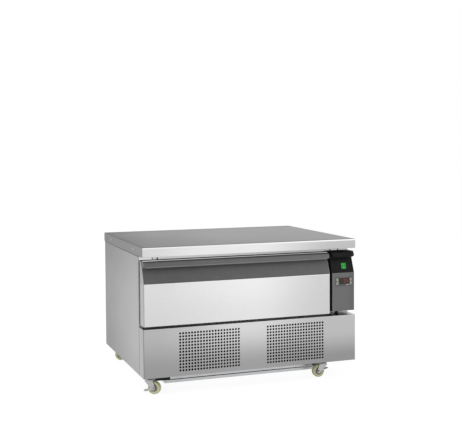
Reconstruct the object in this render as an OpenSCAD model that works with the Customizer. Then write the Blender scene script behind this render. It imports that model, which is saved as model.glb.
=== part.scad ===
// Refrigerated drawer unit on casters: one wide insulated drawer under a worktop,
// with the cooling machine below it behind a perforated front panel.
// Millimetres. X runs to the right, Y to the back, Z up.
// The origin is on the floor, under the middle of the worktop.

/* [Overall] */
// Width of the worktop
top_w = 900; // [880:1:960]
// Depth of the worktop, front to back
top_d = 700; // [690:1:760]
// Thickness of the worktop, skirt included
top_t = 37; // [25:1:50]
// Height of the casters, floor to base plate
caster_h = 72; // [70:1:90]
// Height of the machine compartment and its front panel
machine_h = 189; // [186:1:240]
// Height of the insulated cabinet, up to the worktop
cabinet_h = 276; // [272:1:300]
// Thickness of the sheet steel
sheet = 1.2; // [0.8:0.1:1.5]
// How far the worktop stands out past each side panel and the back
top_proud = 2; // [1:0.5:4]
// Distance from the worktop's front edge back to the cabinet's face
face_back = 70; // [68:1:80]

/* [Worktop] */
// Radius of a rivet head on the worktop's skirts
rivet_r = 4; // [3:0.5:5]
// How far a rivet head stands out of the skirt
rivet_proud = 1; // [0.5:0.1:2]
// Length of a rivet's shank
rivet_len = 14; // [8:1:20]
// Distance of each rivet from the worktop's front or back edge
rivet_inset = 149; // [60:1:250]
// Distance of a locating stud from the worktop's side edge
stud_inset = 67; // [50:1:90]
// Distance of a locating stud behind the worktop's front edge
stud_back = 30; // [20:1:50]
// Length of a locating stud
stud_len = 13; // [8:1:14]
// Radius of a locating stud
stud_r = 2.5; // [1.5:0.5:4]
// Width of the folded edge inside the top of each side panel
side_fold = 15; // [8:1:25]

/* [Drawer front] */
// Gap between the drawer front and the control housing
column_gap = 11; // [8:0.5:16]
// Gap between the side panel's outer face and the drawer front's edge
drawer_edge = 3; // [2:0.5:6]
// Gap between the lower panel and the drawer front
drawer_lift = 9.5; // [6:0.5:14]
// Distance of the drawer front behind the worktop's front edge
drawer_set = 2; // [1:0.5:5]
// Gap between the worktop's underside and the drawer front
drawer_drop = 18; // [15:0.5:24]
// Height of the slanted finger recess
recess_h = 61; // [50:1:63]
// Depth of the slanted finger recess at its top
recess_d = 30; // [22:1:36]
// Height of the pull's lip above the recess
lip_h = 24; // [18:1:26]
// How far the lip's top edge slopes back from its nose
lip_slope = 11; // [6:1:16]
// Height of the lip's nose above its lower edge
lip_nose = 9; // [6:1:12]
// Thickness of the moulded pull's wall
pull_wall = 2.5; // [1.5:0.5:4]
// Radius of the rounded lower corners of the lip
lip_corner = 12; // [6:1:12]
// Length of each solid end of the pull
cap_len = 14; // [13:1:20]
// Depth of the gasket between drawer front and face
gasket_t = 6; // [5:0.5:8]
// Width of the gasket's section
gasket_w = 14; // [8:1:16]
// Distance from the cavity's edge out to the gasket
gasket_gap = 3; // [2:1:6]

/* [Cavity and drawer frame] */
// Insulation at the cavity's left
wall_left = 43; // [38:1:50]
// Insulation at the right of the evaporator's niche
wall_right = 53; // [46:1:60]
// Insulation behind the cavity
wall_back = 46; // [38:1:54]
// Insulation under the cavity
wall_floor = 41; // [36:1:46]
// Insulation over the cavity
wall_roof = 40; // [38:1:44]
// Gap between the drawer frame and the cavity's back
frame_room = 28; // [20:1:40]
// Width of the frame's bars at its left and right
frame_side = 18.8; // [16:0.1:24]
// Width of the frame's bar between the two pans
frame_bar = 20; // [16:1:24]
// Width of the frame's bars at its front and back
frame_end = 22; // [16:1:26]
// Height of the drawer frame's bars
frame_h = 32; // [24:1:36]
// Distance of the frame's top below the cavity's roof
frame_drop = 14; // [8:1:20]
// Depth of the ledge that the pan rims rest on
ledge_drop = 6; // [3:1:10]
// Width of that ledge, inside each opening
ledge_w = 8; // [5:1:10]
// Thickness of that ledge
ledge_t = 3; // [2:0.5:5]

/* [Runners] */
// Thickness of a complete runner, liner to drawer frame
runner_t = 13; // [12:0.5:14]
// Height of a runner
runner_h = 30; // [26:1:34]
// Distance of the runners' back ends from the cavity's back
runner_end = 26; // [20:1:40]
// Sheet thickness of the runner members
runner_sheet = 1.5; // [1:0.1:2]
// Running gap between runner members
runner_gap = 0.3; // [0.2:0.05:0.5]

/* [Control column] */
// Width of the control housing
control_w = 100; // [96:1:104]
// Gap between the lower panel and the control housing
control_lift = 18; // [14:1:22]
// Distance of the fascia behind the worktop's front edge
fascia_set = 2.5; // [2.5:0.5:4]
// Gap between the worktop's underside and the control housing
control_drop = 14; // [10:0.5:20]
// Thickness of the grey fascia
fascia_t = 2; // [1.5:0.5:3]
// Height of the slanted face above the fascia
slant_h = 62.5; // [56:0.5:66]
// Depth of the slanted face at its top
slant_d = 25; // [18:1:30]
// Thickness of the housing's wall
housing_wall = 3; // [2.5:0.5:4]
// Width of the controller's bezel
bezel_w = 75; // [72:1:80]
// Height of the controller's bezel
bezel_h = 36; // [34:1:40]
// Distance of the controller's middle right of the housing's middle
bezel_right = 2.5; // [-3:0.5:4]
// How far the bezel stands out of the fascia
bezel_proud = 1.5; // [1:0.1:2]
// Distance of the controller's middle below the fascia's top edge
bezel_drop = 36.5; // [30:0.5:60]
// Width of the controller's window
window_w = 48; // [44:1:50]
// Height of the controller's window
window_h = 29; // [24:1:30]
// Thickness of the window
window_t = 2; // [1.5:0.5:3]
// Depth of the controller's case behind the fascia
case_d = 48; // [30:1:50]
// Width of a key
key_w = 9; // [7:0.5:10]
// Height of a key
key_h = 12; // [10:0.5:13]
// How far a key stands out of the bezel
key_proud = 0.4; // [0.2:0.1:0.6]
// Travel of a key
key_travel = 0.8; // [0.4:0.1:1.2]
// Gap round a key
key_gap = 0.25; // [0.2:0.05:0.4]
// Width of the rocker switch's frame
switch_w = 28; // [26:1:32]
// Height of the rocker switch's frame
switch_h = 32; // [30:1:36]
// Height of the switch's middle above the slanted face's lower edge, along it
switch_up = 28; // [26:1:34]
// Distance of the switch's middle from the housing's left side
switch_x = 56.5; // [36:0.5:64]
// Width of the rocker
rocker_w = 22; // [18:1:22]
// Height of the rocker
rocker_h = 25; // [20:1:25]
// Tip of the rocker to each side of its middle position, in degrees
rocker_tip = 7; // [4:1:9]

/* [Perforated front panel] */
// Distance of the panel behind the worktop's front edge
grille_set = 0.5; // [0.5:0.5:3]
// Distance between neighbouring holes in a row
hole_pitch = 12; // [11:0.5:12]
// Radius of a hole
hole_r = 3.8; // [2.5:0.1:4.2]
// Holes across one block
holes_x = 21; // [8:1:22]
// Holes down one block
holes_z = 13; // [6:1:13]
// Distance of the left block's middle from the panel's middle
block_left = 183; // [170:1:200]
// Distance of the right block's middle from the panel's middle
block_right = 180; // [170:1:200]
// Height of the lowest row of holes above the panel's lower edge
row_bottom = 22; // [20:1:30]
// Distance of the highest row of holes below the panel's top edge
row_top = 23; // [20:1:30]

/* [Base] */
// Thickness of the base plate
base_t = 2; // [1.5:0.5:3]
// Distance of the cross channel behind the cabinet's face
channel_back = 42; // [40:1:60]
// Height of the cross channel
channel_h = 38; // [30:1:40]
// Depth of the cross channel
channel_d = 30; // [20:1:40]
// Distance of the channel's left end from the worktop's side edge
channel_left = 137; // [125:1:150]
// Distance of the channel's right end from the worktop's side edge
channel_right = 148; // [140:1:160]
// Distance of the evaporator's drain from the cavity's right side
drain_side = 30; // [20:1:40]
// Radius of the drain pipe
drain_r = 8; // [6:0.5:10]
// Depth of the evaporation tray, front to back
tray_d = 200; // [160:1:230]
// Height of the tray's rim
tray_rim = 12; // [8:1:14]
// Gap between the tray's rim and the cross channel
tray_gap = 2; // [1:0.5:4]
// How far the tray reaches past the channel's left end
tray_past = 24; // [10:1:26]

/* [Casters] */
// Radius of a wheel
wheel_r = 25; // [24:0.5:26]
// Width of a wheel's tread
wheel_w = 19; // [16:0.5:20]
// Distance from the swivel axis to the wheel's axis
trail = 20; // [16:1:22]
// Distance of the left casters' swivel axis from the side panel
caster_left = 39; // [34:1:60]
// Distance of the right casters' swivel axis from the side panel
caster_right = 121; // [110:1:130]
// Distance of the front casters' swivel axis from the worktop's front edge
caster_front = 62; // [50:1:65]
// Distance of the rear casters' swivel axis from the back panel
caster_rear = 34; // [32:1:60]
// Turn of the front left caster's fork from straight, in degrees
fork_turn = 40; // [0:1:60]
// Side of a caster's square plate
plate_w = 60; // [56:1:62]
// Thickness of a caster's plate
plate_t = 2.5; // [2:0.5:4]
// Distance between a caster's bolts
bolt_pitch = 46; // [44:1:48]
// Radius of a caster's bolts
bolt_r = 3; // [2.5:0.5:4]
// Radius of the swivel head
head_r = 20; // [18:1:21]
// Height of the swivel head under the plate
head_h = 8.7; // [6:0.1:10]
// Radius of the kingpin
kingpin_r = 5; // [4:0.5:7]
// Thickness of the fork's sheet
fork_t = 2.2; // [1.5:0.1:2.5]
// Radius of the axle
axle_r = 3; // [2.5:0.5:4]
// Running gap round a shaft
shaft_gap = 0.05; // [0.02:0.01:0.1]
// Gap between faces that move past each other
face_gap = 0.3; // [0.2:0.05:0.5]
// Width of a brake pedal's tread
pedal_w = 16; // [10:1:20]

/* [Cooling machine] */
// Radius of the compressor's shell
comp_r = 66; // [55:1:70]
// Height of the compressor's shell
comp_h = 138; // [110:1:142]
// Distance of the compressor's middle left of the unit's middle
comp_x = 160; // [140:1:200]
// Distance of the compressor's middle behind the unit's middle
comp_y = 120; // [90:1:150]
// Width of the condenser block
cond_w = 236; // [200:1:240]
// Height of the condenser block
cond_h = 150; // [140:1:156]
// Depth of the condenser block
cond_d = 44; // [30:1:50]
// Number of condenser fins
cond_fins = 30; // [16:1:36]
// Number of condenser tubes in a row
cond_tubes = 6; // [4:1:6]
// Radius of the refrigerant tubes
tube_r = 4; // [3:0.5:4.5]
// Radius of the condenser fan
cond_fan_r = 64; // [50:1:66]
// Width of the evaporator block
evap_w = 62; // [50:1:66]
// Number of evaporator fins
evap_fins = 26; // [16:1:32]
// Width of the evaporator's niche beside the cavity
niche_w = 94; // [90:1:96]
// Distance of the niche's front end behind the cabinet's face
niche_start = 140; // [130:1:150]
// Radius of the evaporator fan
evap_fan_r = 36; // [30:1:37]

/* [Hidden] */
$fn = 48;

steel = [0.80, 0.81, 0.82];
zinc = [0.70, 0.71, 0.73];
black = [0.12, 0.12, 0.13];
dark_grey = [0.33, 0.33, 0.34];
fascia_grey = [0.42, 0.42, 0.43];
cream = [0.80, 0.79, 0.60];
copper = [0.72, 0.45, 0.30];
aluminium = [0.78, 0.80, 0.82];

// Outer planes of the unit
x_right = top_w / 2 - top_proud;
x_left = -x_right;
y_front = -top_d / 2;
y_face = y_front + face_back;
y_back = top_d / 2 - top_proud;
z_base = caster_h;
z_deck = z_base + machine_h;
z_top = z_deck + cabinet_h;
z_work = z_top + top_t;

// Inner faces of the outer sheets
in_left = x_left + sheet;
in_right = x_right - sheet;
in_back = y_back - sheet;
z_floor = z_base + base_t;

// The lower panel's ledge, behind the cabinet's face
ledge_in = 18;

// The cavity's outer faces, over the liner
cav_left = x_left + wall_left;
cav_right = x_right - wall_right - niche_w;
cav_back = y_back - wall_back;
cav_floor = z_deck + wall_floor;
cav_roof = z_top - wall_roof;

// The evaporator's niche, right of the cavity
niche_set = 12;
niche_right = cav_right + niche_w;
niche_back = cav_back - niche_set;
niche_front = y_face + niche_start;
niche_d = niche_back - niche_front;

// The drawer front's planes
dr_left = x_left + drawer_edge;
dr_right = x_right - drawer_edge - control_w - column_gap;
dr_front = y_front + drawer_set;
dr_back = y_face - gasket_t;
dr_floor = z_deck + drawer_lift;
dr_top = z_top - drawer_drop;
dr_lip = dr_top - lip_h;
dr_face_top = dr_lip - recess_h;

// The drawer frame and runners
frame_top = cav_roof - sheet - frame_drop;
frame_floor = frame_top - frame_h;
frame_left = cav_left + sheet + runner_t;
frame_right = cav_right - sheet - runner_t;
frame_back = cav_back - frame_room;
frame_mid = (frame_left + frame_right) / 2;
pan_w = (frame_right - frame_left - frame_bar) / 2 - frame_side;
pan_d = frame_back - dr_back - 2 * frame_end;
runner_set = 8;
runner_front = y_face + runner_set;
runner_l = cav_back - runner_end - runner_front;
runner_z = frame_top - frame_h / 2;
outer_half = runner_h / 2;
middle_half = outer_half - runner_sheet - runner_gap;
inner_half = middle_half - runner_sheet - runner_gap;

// The control column's planes
ctl_right = x_right - drawer_edge;
ctl_left = ctl_right - control_w;
ctl_front = y_front + fascia_set;
ctl_floor = z_deck + control_lift;
ctl_lip = z_top - control_drop - lip_h;
ctl_fascia_top = ctl_lip - slant_h;
ctl_mid = (ctl_left + ctl_right) / 2;
bezel_mid_z = ctl_fascia_top - bezel_drop;
wall_front = ctl_front + fascia_t;

// The controller's window and keys
window_x = ctl_mid + bezel_right;
key_x = window_w / 2 + key_w / 2 + 2.2;
key_z = key_h / 2 + 1.6;
key_depth = 6;
case_wall = 2;
case_outer_w = bezel_w - 4;
case_outer_h = bezel_h - 4;

// The slanted face that carries the rocker switch
slant_tilt = atan(slant_d / slant_h);
rocker_pin_r = 1.5;
rocker_depth = 9;
rocker_pivot = 3;
rocker_room = 1;

// The tray and channel under the base plate
tray_flange = 20;
chan_left = -top_w / 2 + channel_left;
chan_right = top_w / 2 - channel_right;
chan_front = y_face + channel_back;
tray_top = z_base - channel_h - tray_gap;
tray_back = chan_front + tray_d;

// Casters
caster_x = [x_left + caster_left, x_right - caster_right];
caster_y = [y_front + caster_front, y_back - caster_rear];
axle_z = wheel_r;
plate_z = z_base - plate_t;
head_z = plate_z - head_h;
crown_top = head_z - face_gap;
crown_z = crown_top - 2.5;
wheel_side = 1.7;
leg_in = wheel_w / 2 + wheel_side;
leg_out = leg_in + fork_t;
pedal_t = 1.5;
pedal_in = leg_out + face_gap;
pedal_out = pedal_in + pedal_t;
bolt_clear = 0.25;

// The cooling machine
cond_set = 24;
cond_lift = 12;
cond_x = block_right;
cond_front = y_face + cond_set;
cond_z = z_floor + cond_lift;
cond_mid_z = cond_z + cond_h / 2;
cond_motor_r = 26;
cond_motor_l = 46;
cond_hub_r = 17;
cond_fan_t = 18;
cond_shaft_r = 3;
cond_shaft_l = 20;
fan_rim = 3;
shroud_d = 40;
shroud_wall = 2;
shroud_back = cond_front + cond_d + shroud_d;
comp_lift = 14;
comp_z = z_floor + comp_lift;
comp_seam = 3;
bush_r = 9;
foot_t = 3;
foot_bar = 34;
evap_set = 120;
evap_end = 30;
evap_front = niche_front + evap_set;
evap_l = niche_d - evap_set - evap_end;
evap_fan_y = niche_front + evap_set / 2;
evap_fan_up = 52;
evap_fan_in = 26;
evap_fan_z = cav_floor + evap_fan_up;
evap_fan_x = cav_right + evap_fan_in;
evap_motor_r = 20;
evap_motor_l = 34;
evap_hub_r = 11;
evap_fan_t = 14;
evap_shaft_r = 2.5;
evap_shaft_l = 16;
evap_arm_t = 8;
evap_arm_h = 10;
evap_bar_t = 4;
evap_slot_w = 10;
evap_slot_h = 60;
drain_x = cav_right + drain_side;
drain_room = 3;
drain_wall = 1.5;
drain_y = tray_back - sheet - tray_flange - drain_r - drain_room;
drain_dip = 4;
drain_end = tray_top + drain_dip;
gland_up = 60;
gland_z = z_base + gland_up;
gland_x = 250;
pipe_set = 55;
pipe_step = 20;
pipe_x = [cav_right + pipe_set, cav_right + pipe_set + pipe_step];
pipe_y = niche_back - pipe_step;
pipe_lane = 12;
pipe_side = 20;
pipe_lane_step = 14;
pipe_coil_up = 40;
pipe_turn = 44;
drier_back = 90;
drier_y = cond_front + drier_back;
drier_l = 92;
drier_tube_r = 5;
drier_r = 11;
drier_low = 12;
drier_taper = 8;
drier_body_l = 50;

// A block between two opposite corners
module block(lo, hi) {
    translate(lo)
        cube(hi - lo);
}

// An outline in the Y-Z plane, carried along X from one place to another
module along_x(x_from, x_to) {
    translate([x_from, 0, 0])
        rotate([90, 0, 90])
            linear_extrude(height = x_to - x_from)
                children();
}

// A straight tube between two points
module rod(from, to, r) {
    run = to - from;
    length = norm(run);
    turn = atan2(run.y, run.x);
    lean = acos(run.z / length);
    translate(from)
        rotate([0, lean, turn])
            cylinder(r = r, h = length);
}

// A tube through a list of points, with a brazed ball fitting at each bend
module tube(points, r) {
    for (i = [1 : len(points) - 1])
        rod(points[i - 1], points[i], r);
    for (i = [1 : len(points) - 2])
        translate(points[i])
            sphere(r = r + 0.6);
}

// Places a child at a caster's swivel axis, on the floor.
// The left casters trail to the right and the right ones to the left.
module at_caster(side, row) {
    translate([caster_x[side], caster_y[row], 0])
        rotate([0, 0, side * 180])
            children();
}

// The same, turned as the caster's fork stands: only the front left one stands askew
module at_fork(side, row) {
    at_caster(side, row)
        rotate([0, 0, side + row == 0 ? -fork_turn : 0])
            children();
}

// Worktop

module worktop_skin() {
    color(steel)
        difference() {
            block([-top_w / 2, y_front, z_top], [top_w / 2, top_d / 2, z_work]);
            block([-top_w / 2 + sheet, y_front + sheet, z_top - 1],
                  [top_w / 2 - sheet, top_d / 2 - sheet, z_work - sheet]);
            rivet_shanks(1);
        }
}

// Places a child at each rivet on the worktop's side skirts, with Z pointing out of them
module rivet_places() {
    for (side = [-1, 1])
        for (y = [y_front + rivet_inset, -y_front - rivet_inset])
            translate([side * top_w / 2, y, z_top + top_t / 2])
                rotate([0, side * 90, 0])
                    children();
}

module rivet_shanks(past) {
    rivet_places()
        translate([0, 0, -rivet_len])
            cylinder(r = rivet_r / 2, h = rivet_len + past);
}

module worktop_board() {
    color([0.76, 0.66, 0.50])
        difference() {
            block([-top_w / 2 + sheet, y_front + sheet, z_top],
                  [top_w / 2 - sheet, top_d / 2 - sheet, z_work - sheet]);
            rivet_shanks(1);
        }
}

module worktop_fixings() {
    color(zinc) {
        rivet_shanks(rivet_proud / 2);
        rivet_places()
            cylinder(r1 = rivet_r, r2 = rivet_r * 0.6, h = rivet_proud);
        for (side = [-1, 1])
            translate([side * (top_w / 2 - stud_inset), y_front + stud_back, z_top - stud_len])
                cylinder(r = stud_r, h = stud_len);
    }
}

// Outer sheets

module side_panel(side) {
    outer = side < 0 ? x_left : in_right;
    fold_from = side < 0 ? x_left : x_right - side_fold;
    color(steel) {
        block([outer, y_face, z_base], [outer + sheet, y_back, z_top]);
        block([fold_from, y_face + sheet, z_top - sheet], [fold_from + side_fold, in_back, z_top]);
    }
}

module left_side_panel() {
    side_panel(-1);
}

module right_side_panel() {
    side_panel(1);
}

// The back panel, with upright air slots behind the machine
module back_panel() {
    slot_w = 6;
    slot_h = 90;
    slot_pitch = 18;
    slots = 20;
    color(steel)
        difference() {
            block([in_left, in_back, z_base], [in_right, y_back, z_top]);
            for (i = [0 : slots - 1])
                translate([(i - (slots - 1) / 2) * slot_pitch - comp_x / 2, y_back,
                           z_base + machine_h / 2])
                    cube([slot_w, 4 * sheet, slot_h], center = true);
            translate([gland_x, y_back, gland_z])
                rotate([90, 0, 0])
                    cylinder(r = 10, h = 4 * sheet, center = true);
        }
}

// The stainless face round the drawer's opening
module face_frame() {
    color(steel)
        difference() {
            block([in_left, y_face, z_deck], [in_right, y_face + sheet, z_top]);
            block([cav_left, y_face - 1, cav_floor], [cav_right, y_face + sheet + 1, cav_roof]);
            translate([ctl_mid, y_face, ctl_floor + 40])
                rotate([90, 0, 0])
                    cylinder(r = 10, h = 4 * sheet, center = true);
        }
}

module cabinet_floor() {
    color(steel)
        difference() {
            block([in_left, y_face + sheet, z_deck], [in_right, in_back, z_deck + sheet]);
            floor_holes();
        }
}

// What passes through the cabinet's floor: the drain and the two refrigerant tubes
module floor_holes() {
    translate([drain_x, drain_y, z_deck - 1])
        cylinder(r = drain_r, h = wall_floor + 3);
    for (x = pipe_x)
        translate([x, pipe_y, z_deck - 1])
            cylinder(r = tube_r, h = wall_floor + 3);
}

module cabinet_foam() {
    color([0.93, 0.89, 0.72])
        difference() {
            block([in_left, y_face + sheet, z_deck + sheet], [in_right, in_back, z_top]);
            block([cav_left, y_face, cav_floor], [cav_right, cav_back, cav_roof]);
            block([cav_right - 1, niche_front, cav_floor], [niche_right, niche_back, cav_roof]);
            block([in_left - 1, y_face, z_top - sheet], [x_left + side_fold, y_back, z_top + 1]);
            block([x_right - side_fold, y_face, z_top - sheet], [in_right + 1, y_back, z_top + 1]);
            floor_holes();
        }
}

module inner_liner() {
    color(aluminium)
        difference() {
            union() {
                block([cav_left, y_face, cav_floor], [cav_right, cav_back, cav_roof]);
                block([cav_right - sheet, niche_front, cav_floor], [niche_right, niche_back, cav_roof]);
            }
            block([cav_left + sheet, y_face - 1, cav_floor + sheet],
                  [cav_right - sheet, cav_back - sheet, cav_roof - sheet]);
            block([cav_right - 2 * sheet, niche_front + sheet, cav_floor + sheet],
                  [niche_right - sheet, niche_back - sheet, cav_roof - sheet]);
            floor_holes();
        }
}

// Base

module base_plate() {
    color(zinc)
        difference() {
            block([in_left, y_front + grille_set + sheet, z_base], [in_right, in_back, z_floor]);
            for (side = [0, 1])
                for (row = [0, 1])
                    at_caster(side, row)
                        bolt_places()
                            translate([0, 0, z_base - 1])
                                cylinder(r = bolt_r + bolt_clear, h = base_t + 2);
            translate([drain_x, drain_y, z_base - 1])
                cylinder(r = drain_r + 1, h = base_t + 2);
        }
}

module cross_channel() {
    color(steel) {
        block([chan_left, chan_front, z_base - channel_h], [chan_right, chan_front + sheet, z_base]);
        block([chan_left, chan_front, z_base - channel_h],
              [chan_right, chan_front + channel_d, z_base - channel_h + sheet]);
        block([chan_left, chan_front, z_base - sheet], [chan_right, chan_front + channel_d, z_base]);
    }
}

// A shallow tray that hangs by its high back wall from the base plate
module evaporation_tray() {
    tray_left = chan_left - tray_past;
    tray_right = drain_x + drain_r + 6;
    tray_floor = tray_top - tray_rim;
    color(steel)
        difference() {
            union() {
                block([tray_left, chan_front, tray_floor], [tray_right, tray_back, tray_top]);
                block([tray_left, tray_back - sheet, tray_floor], [tray_right, tray_back, z_base]);
                block([tray_left, tray_back - sheet - tray_flange, z_base - sheet],
                      [tray_right, tray_back, z_base]);
            }
            block([tray_left + sheet, chan_front + sheet, tray_floor + sheet],
                  [tray_right - sheet, tray_back - sheet, tray_top + 1]);
        }
}

// The folded lower front panel, with a ledge on top and a return at each side
module front_grille_panel() {
    front = y_front + grille_set;
    ledge_back = y_face + ledge_in;
    row_pitch = (machine_h - row_bottom - row_top) / (holes_z - 1);
    color(steel)
        difference() {
            union() {
                block([x_left, front, z_base], [x_right, front + sheet, z_deck]);
                block([x_left, front, z_base], [in_left, y_face, z_deck]);
                block([in_right, front, z_base], [x_right, y_face, z_deck]);
                block([x_left, front, z_deck - sheet], [x_right, y_face, z_deck]);
                block([in_left, front, z_deck - sheet], [in_right, ledge_back, z_deck]);
            }
            translate([0, front + sheet / 2, 0])
                rotate([90, 0, 0])
                    linear_extrude(height = 3 * sheet, center = true)
                        for (middle = [-block_left, block_right])
                            for (i = [0 : holes_x - 1])
                                for (k = [0 : holes_z - 1])
                                    translate([middle + (i - (holes_x - 1) / 2) * hole_pitch,
                                               z_base + row_bottom + k * row_pitch])
                                        circle(r = hole_r, $fn = 24);
        }
}

// A ribbed gland in the back panel, where the supply cord would come out
module cord_gland() {
    color(black)
        translate([gland_x, y_back, gland_z])
            rotate([90, 0, 0]) {
                difference() {
                    union() {
                        translate([0, 0, -1.5])
                            cylinder(r = 13, h = 1.5);
                        cylinder(r = 10, h = 2 * sheet);
                        translate([0, 0, sheet])
                            cylinder(r = 13, h = 6, $fn = 6);
                    }
                    translate([0, 0, -3])
                        cylinder(r = 4, h = 20);
                }
            }
}

// Cooling machine

module compressor_shell() {
    color(black)
        compressor_body();
}

// A can with domed ends and a welded seam round it
module compressor_body() {
    dome_r = comp_r * 1.5;
    seam_z = comp_h * 0.55;
    translate([-comp_x, comp_y, comp_z]) {
        intersection() {
            cylinder(r = comp_r, h = comp_h);
            translate([0, 0, comp_h - dome_r])
                sphere(r = dome_r);
            translate([0, 0, dome_r])
                sphere(r = dome_r);
        }
        translate([0, 0, seam_z])
            cylinder(r = comp_r + comp_seam, h = 2 * comp_seam);
    }
}

// The compressor's foot plate on four rubber bushes
module compressor_feet() {
    foot_w = comp_r * 2.3;
    foot_d = comp_r * 1.5;
    color(black)
        translate([-comp_x, comp_y, 0])
            for (side = [-1, 1]) {
                translate([side * (foot_w - bush_r * 2) / 2, 0, 0])
                    for (end = [-1, 1])
                        translate([0, end * (foot_d - bush_r * 2) / 2, z_floor])
                            cylinder(r = bush_r, h = comp_z - foot_t - z_floor);
                translate([side * (foot_w - foot_bar) / 2, 0, comp_z - foot_t / 2])
                    cube([foot_bar, foot_d, foot_t], center = true);
            }
}

module compressor_terminal_box() {
    box_w = 56;
    box_h = 50;
    box_up = 30;
    box_proud = 26;
    color(dark_grey)
        difference() {
            block([-comp_x - box_w / 2, comp_y - comp_r - box_proud, comp_z + box_up],
                  [-comp_x + box_w / 2, comp_y - comp_r + 20, comp_z + box_up + box_h]);
            compressor_body();
            translate([-comp_x, comp_y, comp_z])
                cylinder(r = comp_r, h = comp_h);
        }
}

// A finned block: upright fins across its width, with straight tubes through them
module finned_block(size, fins, columns, rows) {
    fin_t = 0.8;
    union() {
        for (i = [0 : fins - 1])
            translate([i * (size.x - fin_t) / (fins - 1), 0, 0])
                cube([fin_t, size.y, size.z]);
        for (c = [0 : columns - 1])
            for (r = [0 : rows - 1])
                translate([0, (c + 0.5) * size.y / columns, (r + 0.5) * size.z / rows])
                    rotate([0, 90, 0])
                        cylinder(r = tube_r, h = size.x);
    }
}

module condenser_coil() {
    color(aluminium)
        translate([cond_x - cond_w / 2, cond_front, cond_z])
            finned_block([cond_w, cond_d, cond_h], cond_fins, 2, cond_tubes);
}

// The duct behind the condenser, with the fan's round opening in its back wall
module condenser_shroud() {
    wall = shroud_wall;
    color(black)
        difference() {
            block([cond_x - cond_w / 2 - wall, cond_front, z_floor],
                  [cond_x + cond_w / 2 + wall, shroud_back, cond_z + cond_h + wall]);
            block([cond_x - cond_w / 2, cond_front - 1, cond_z],
                  [cond_x + cond_w / 2, shroud_back - wall, cond_z + cond_h]);
            translate([cond_x, shroud_back, cond_mid_z])
                rotate([90, 0, 0])
                    cylinder(r = cond_fan_r + fan_rim, h = 4 * wall, center = true);
        }
}

// A fan motor along Y, held by three arms to the rim of its opening
module fan_motor(r, length, arm_reach, shaft_r) {
    arm_w = 8;
    rotate([-90, 0, 0])
        difference() {
            union() {
                cylinder(r = r, h = length);
                for (a = [90, 210, 330])
                    rotate([0, 0, a])
                        translate([0, -arm_w / 2, 0])
                            cube([arm_reach, arm_w, 3]);
            }
            translate([0, 0, -1])
                cylinder(r = shaft_r + shaft_gap, h = length * 0.7);
        }
}

module condenser_fan_motor() {
    color(dark_grey)
        translate([cond_x, shroud_back, cond_mid_z])
            fan_motor(cond_motor_r, cond_motor_l, cond_fan_r + fan_rim + 5, cond_shaft_r);
}

// A fan wheel along Y: a hub with flat raked blades and its own shaft
module fan_blade(r, hub_r, thick, blades, shaft_r, shaft_len) {
    rake = 28;
    rotate([-90, 0, 0]) {
        cylinder(r = hub_r, h = thick);
        cylinder(r = shaft_r, h = thick + shaft_len);
        intersection() {
            cylinder(r = r, h = thick);
            for (i = [0 : blades - 1])
                rotate([0, 0, i * 360 / blades])
                    translate([r / 2, 0, thick / 2])
                        rotate([rake, 0, 0])
                            cube([r * 1.1, r * 0.62, 1.6], center = true);
        }
    }
}

module condenser_fan_blade() {
    color([0.75, 0.76, 0.78])
        translate([cond_x, shroud_back - cond_fan_t - face_gap - 1, cond_mid_z])
            fan_blade(cond_fan_r, cond_hub_r, cond_fan_t, 5, cond_shaft_r, cond_shaft_l);
}

module refrigerant_pipes() {
    lane = z_deck - pipe_lane;
    low_lane = lane - pipe_lane_step;
    coil_end = evap_front + evap_l;
    coil_z = cav_floor + pipe_coil_up;
    left_x = cond_x - cond_w / 2 - pipe_side;
    right_x = cond_x + cond_w / 2 + shroud_wall;
    hot_y = cond_front + cond_d / 4;
    hot_z = cond_z + cond_h * 0.9;
    cold_y = cond_front + cond_d * 3 / 4;
    cold_z = z_floor + pipe_coil_up;
    out_y = comp_y + comp_r * 0.3;
    in_x = -comp_x + comp_r / 2;
    in_y = comp_y + comp_r * 2 / 3;
    in_z = comp_z + comp_h * 0.75;
    back_lane = in_y + comp_r;
    color(copper)
        difference() {
            union() {
                tube([[-comp_x, out_y, comp_z + comp_h * 0.9], [-comp_x, out_y, lane],
                      [left_x, out_y, lane], [left_x, hot_y, lane],
                      [left_x, hot_y, hot_z], [left_x + pipe_side - 2, hot_y, hot_z]], tube_r);
                tube([[in_x, in_y, in_z], [in_x, back_lane, in_z],
                      [in_x, back_lane, lane], [pipe_x[0], back_lane, lane],
                      [pipe_x[0], pipe_y, lane], [pipe_x[0], pipe_y, coil_z],
                      [pipe_x[0], coil_end, coil_z]], tube_r);
                tube([[pipe_x[1], drier_y, z_floor + drier_l], [pipe_x[1], drier_y, low_lane],
                      [pipe_x[1], pipe_y, low_lane], [pipe_x[1], pipe_y, coil_z + pipe_coil_up],
                      [pipe_x[1], coil_end, coil_z + pipe_coil_up]], tube_r);
                tube([[right_x, cold_y, cold_z], [right_x + pipe_turn - 14, cold_y, cold_z],
                      [right_x + pipe_turn - 14, drier_y, cold_z], [pipe_x[1], drier_y, cold_z]], tube_r);
            }
            compressor_body();
            drier_body();
        }
}

// The filter drier: a copper cartridge with tapered ends, standing on the base plate
module filter_drier() {
    color(copper)
        drier_body();
}

module drier_body() {
    translate([pipe_x[1], drier_y, z_floor]) {
        cylinder(r = drier_tube_r, h = drier_l);
        translate([0, 0, drier_low])
            cylinder(r1 = drier_tube_r * 1.1, r2 = drier_r, h = drier_taper);
        translate([0, 0, drier_low + drier_taper])
            cylinder(r = drier_r, h = drier_body_l);
        translate([0, 0, drier_low + drier_taper + drier_body_l])
            cylinder(r1 = drier_r, r2 = drier_tube_r * 1.1, h = drier_taper);
    }
}

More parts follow.
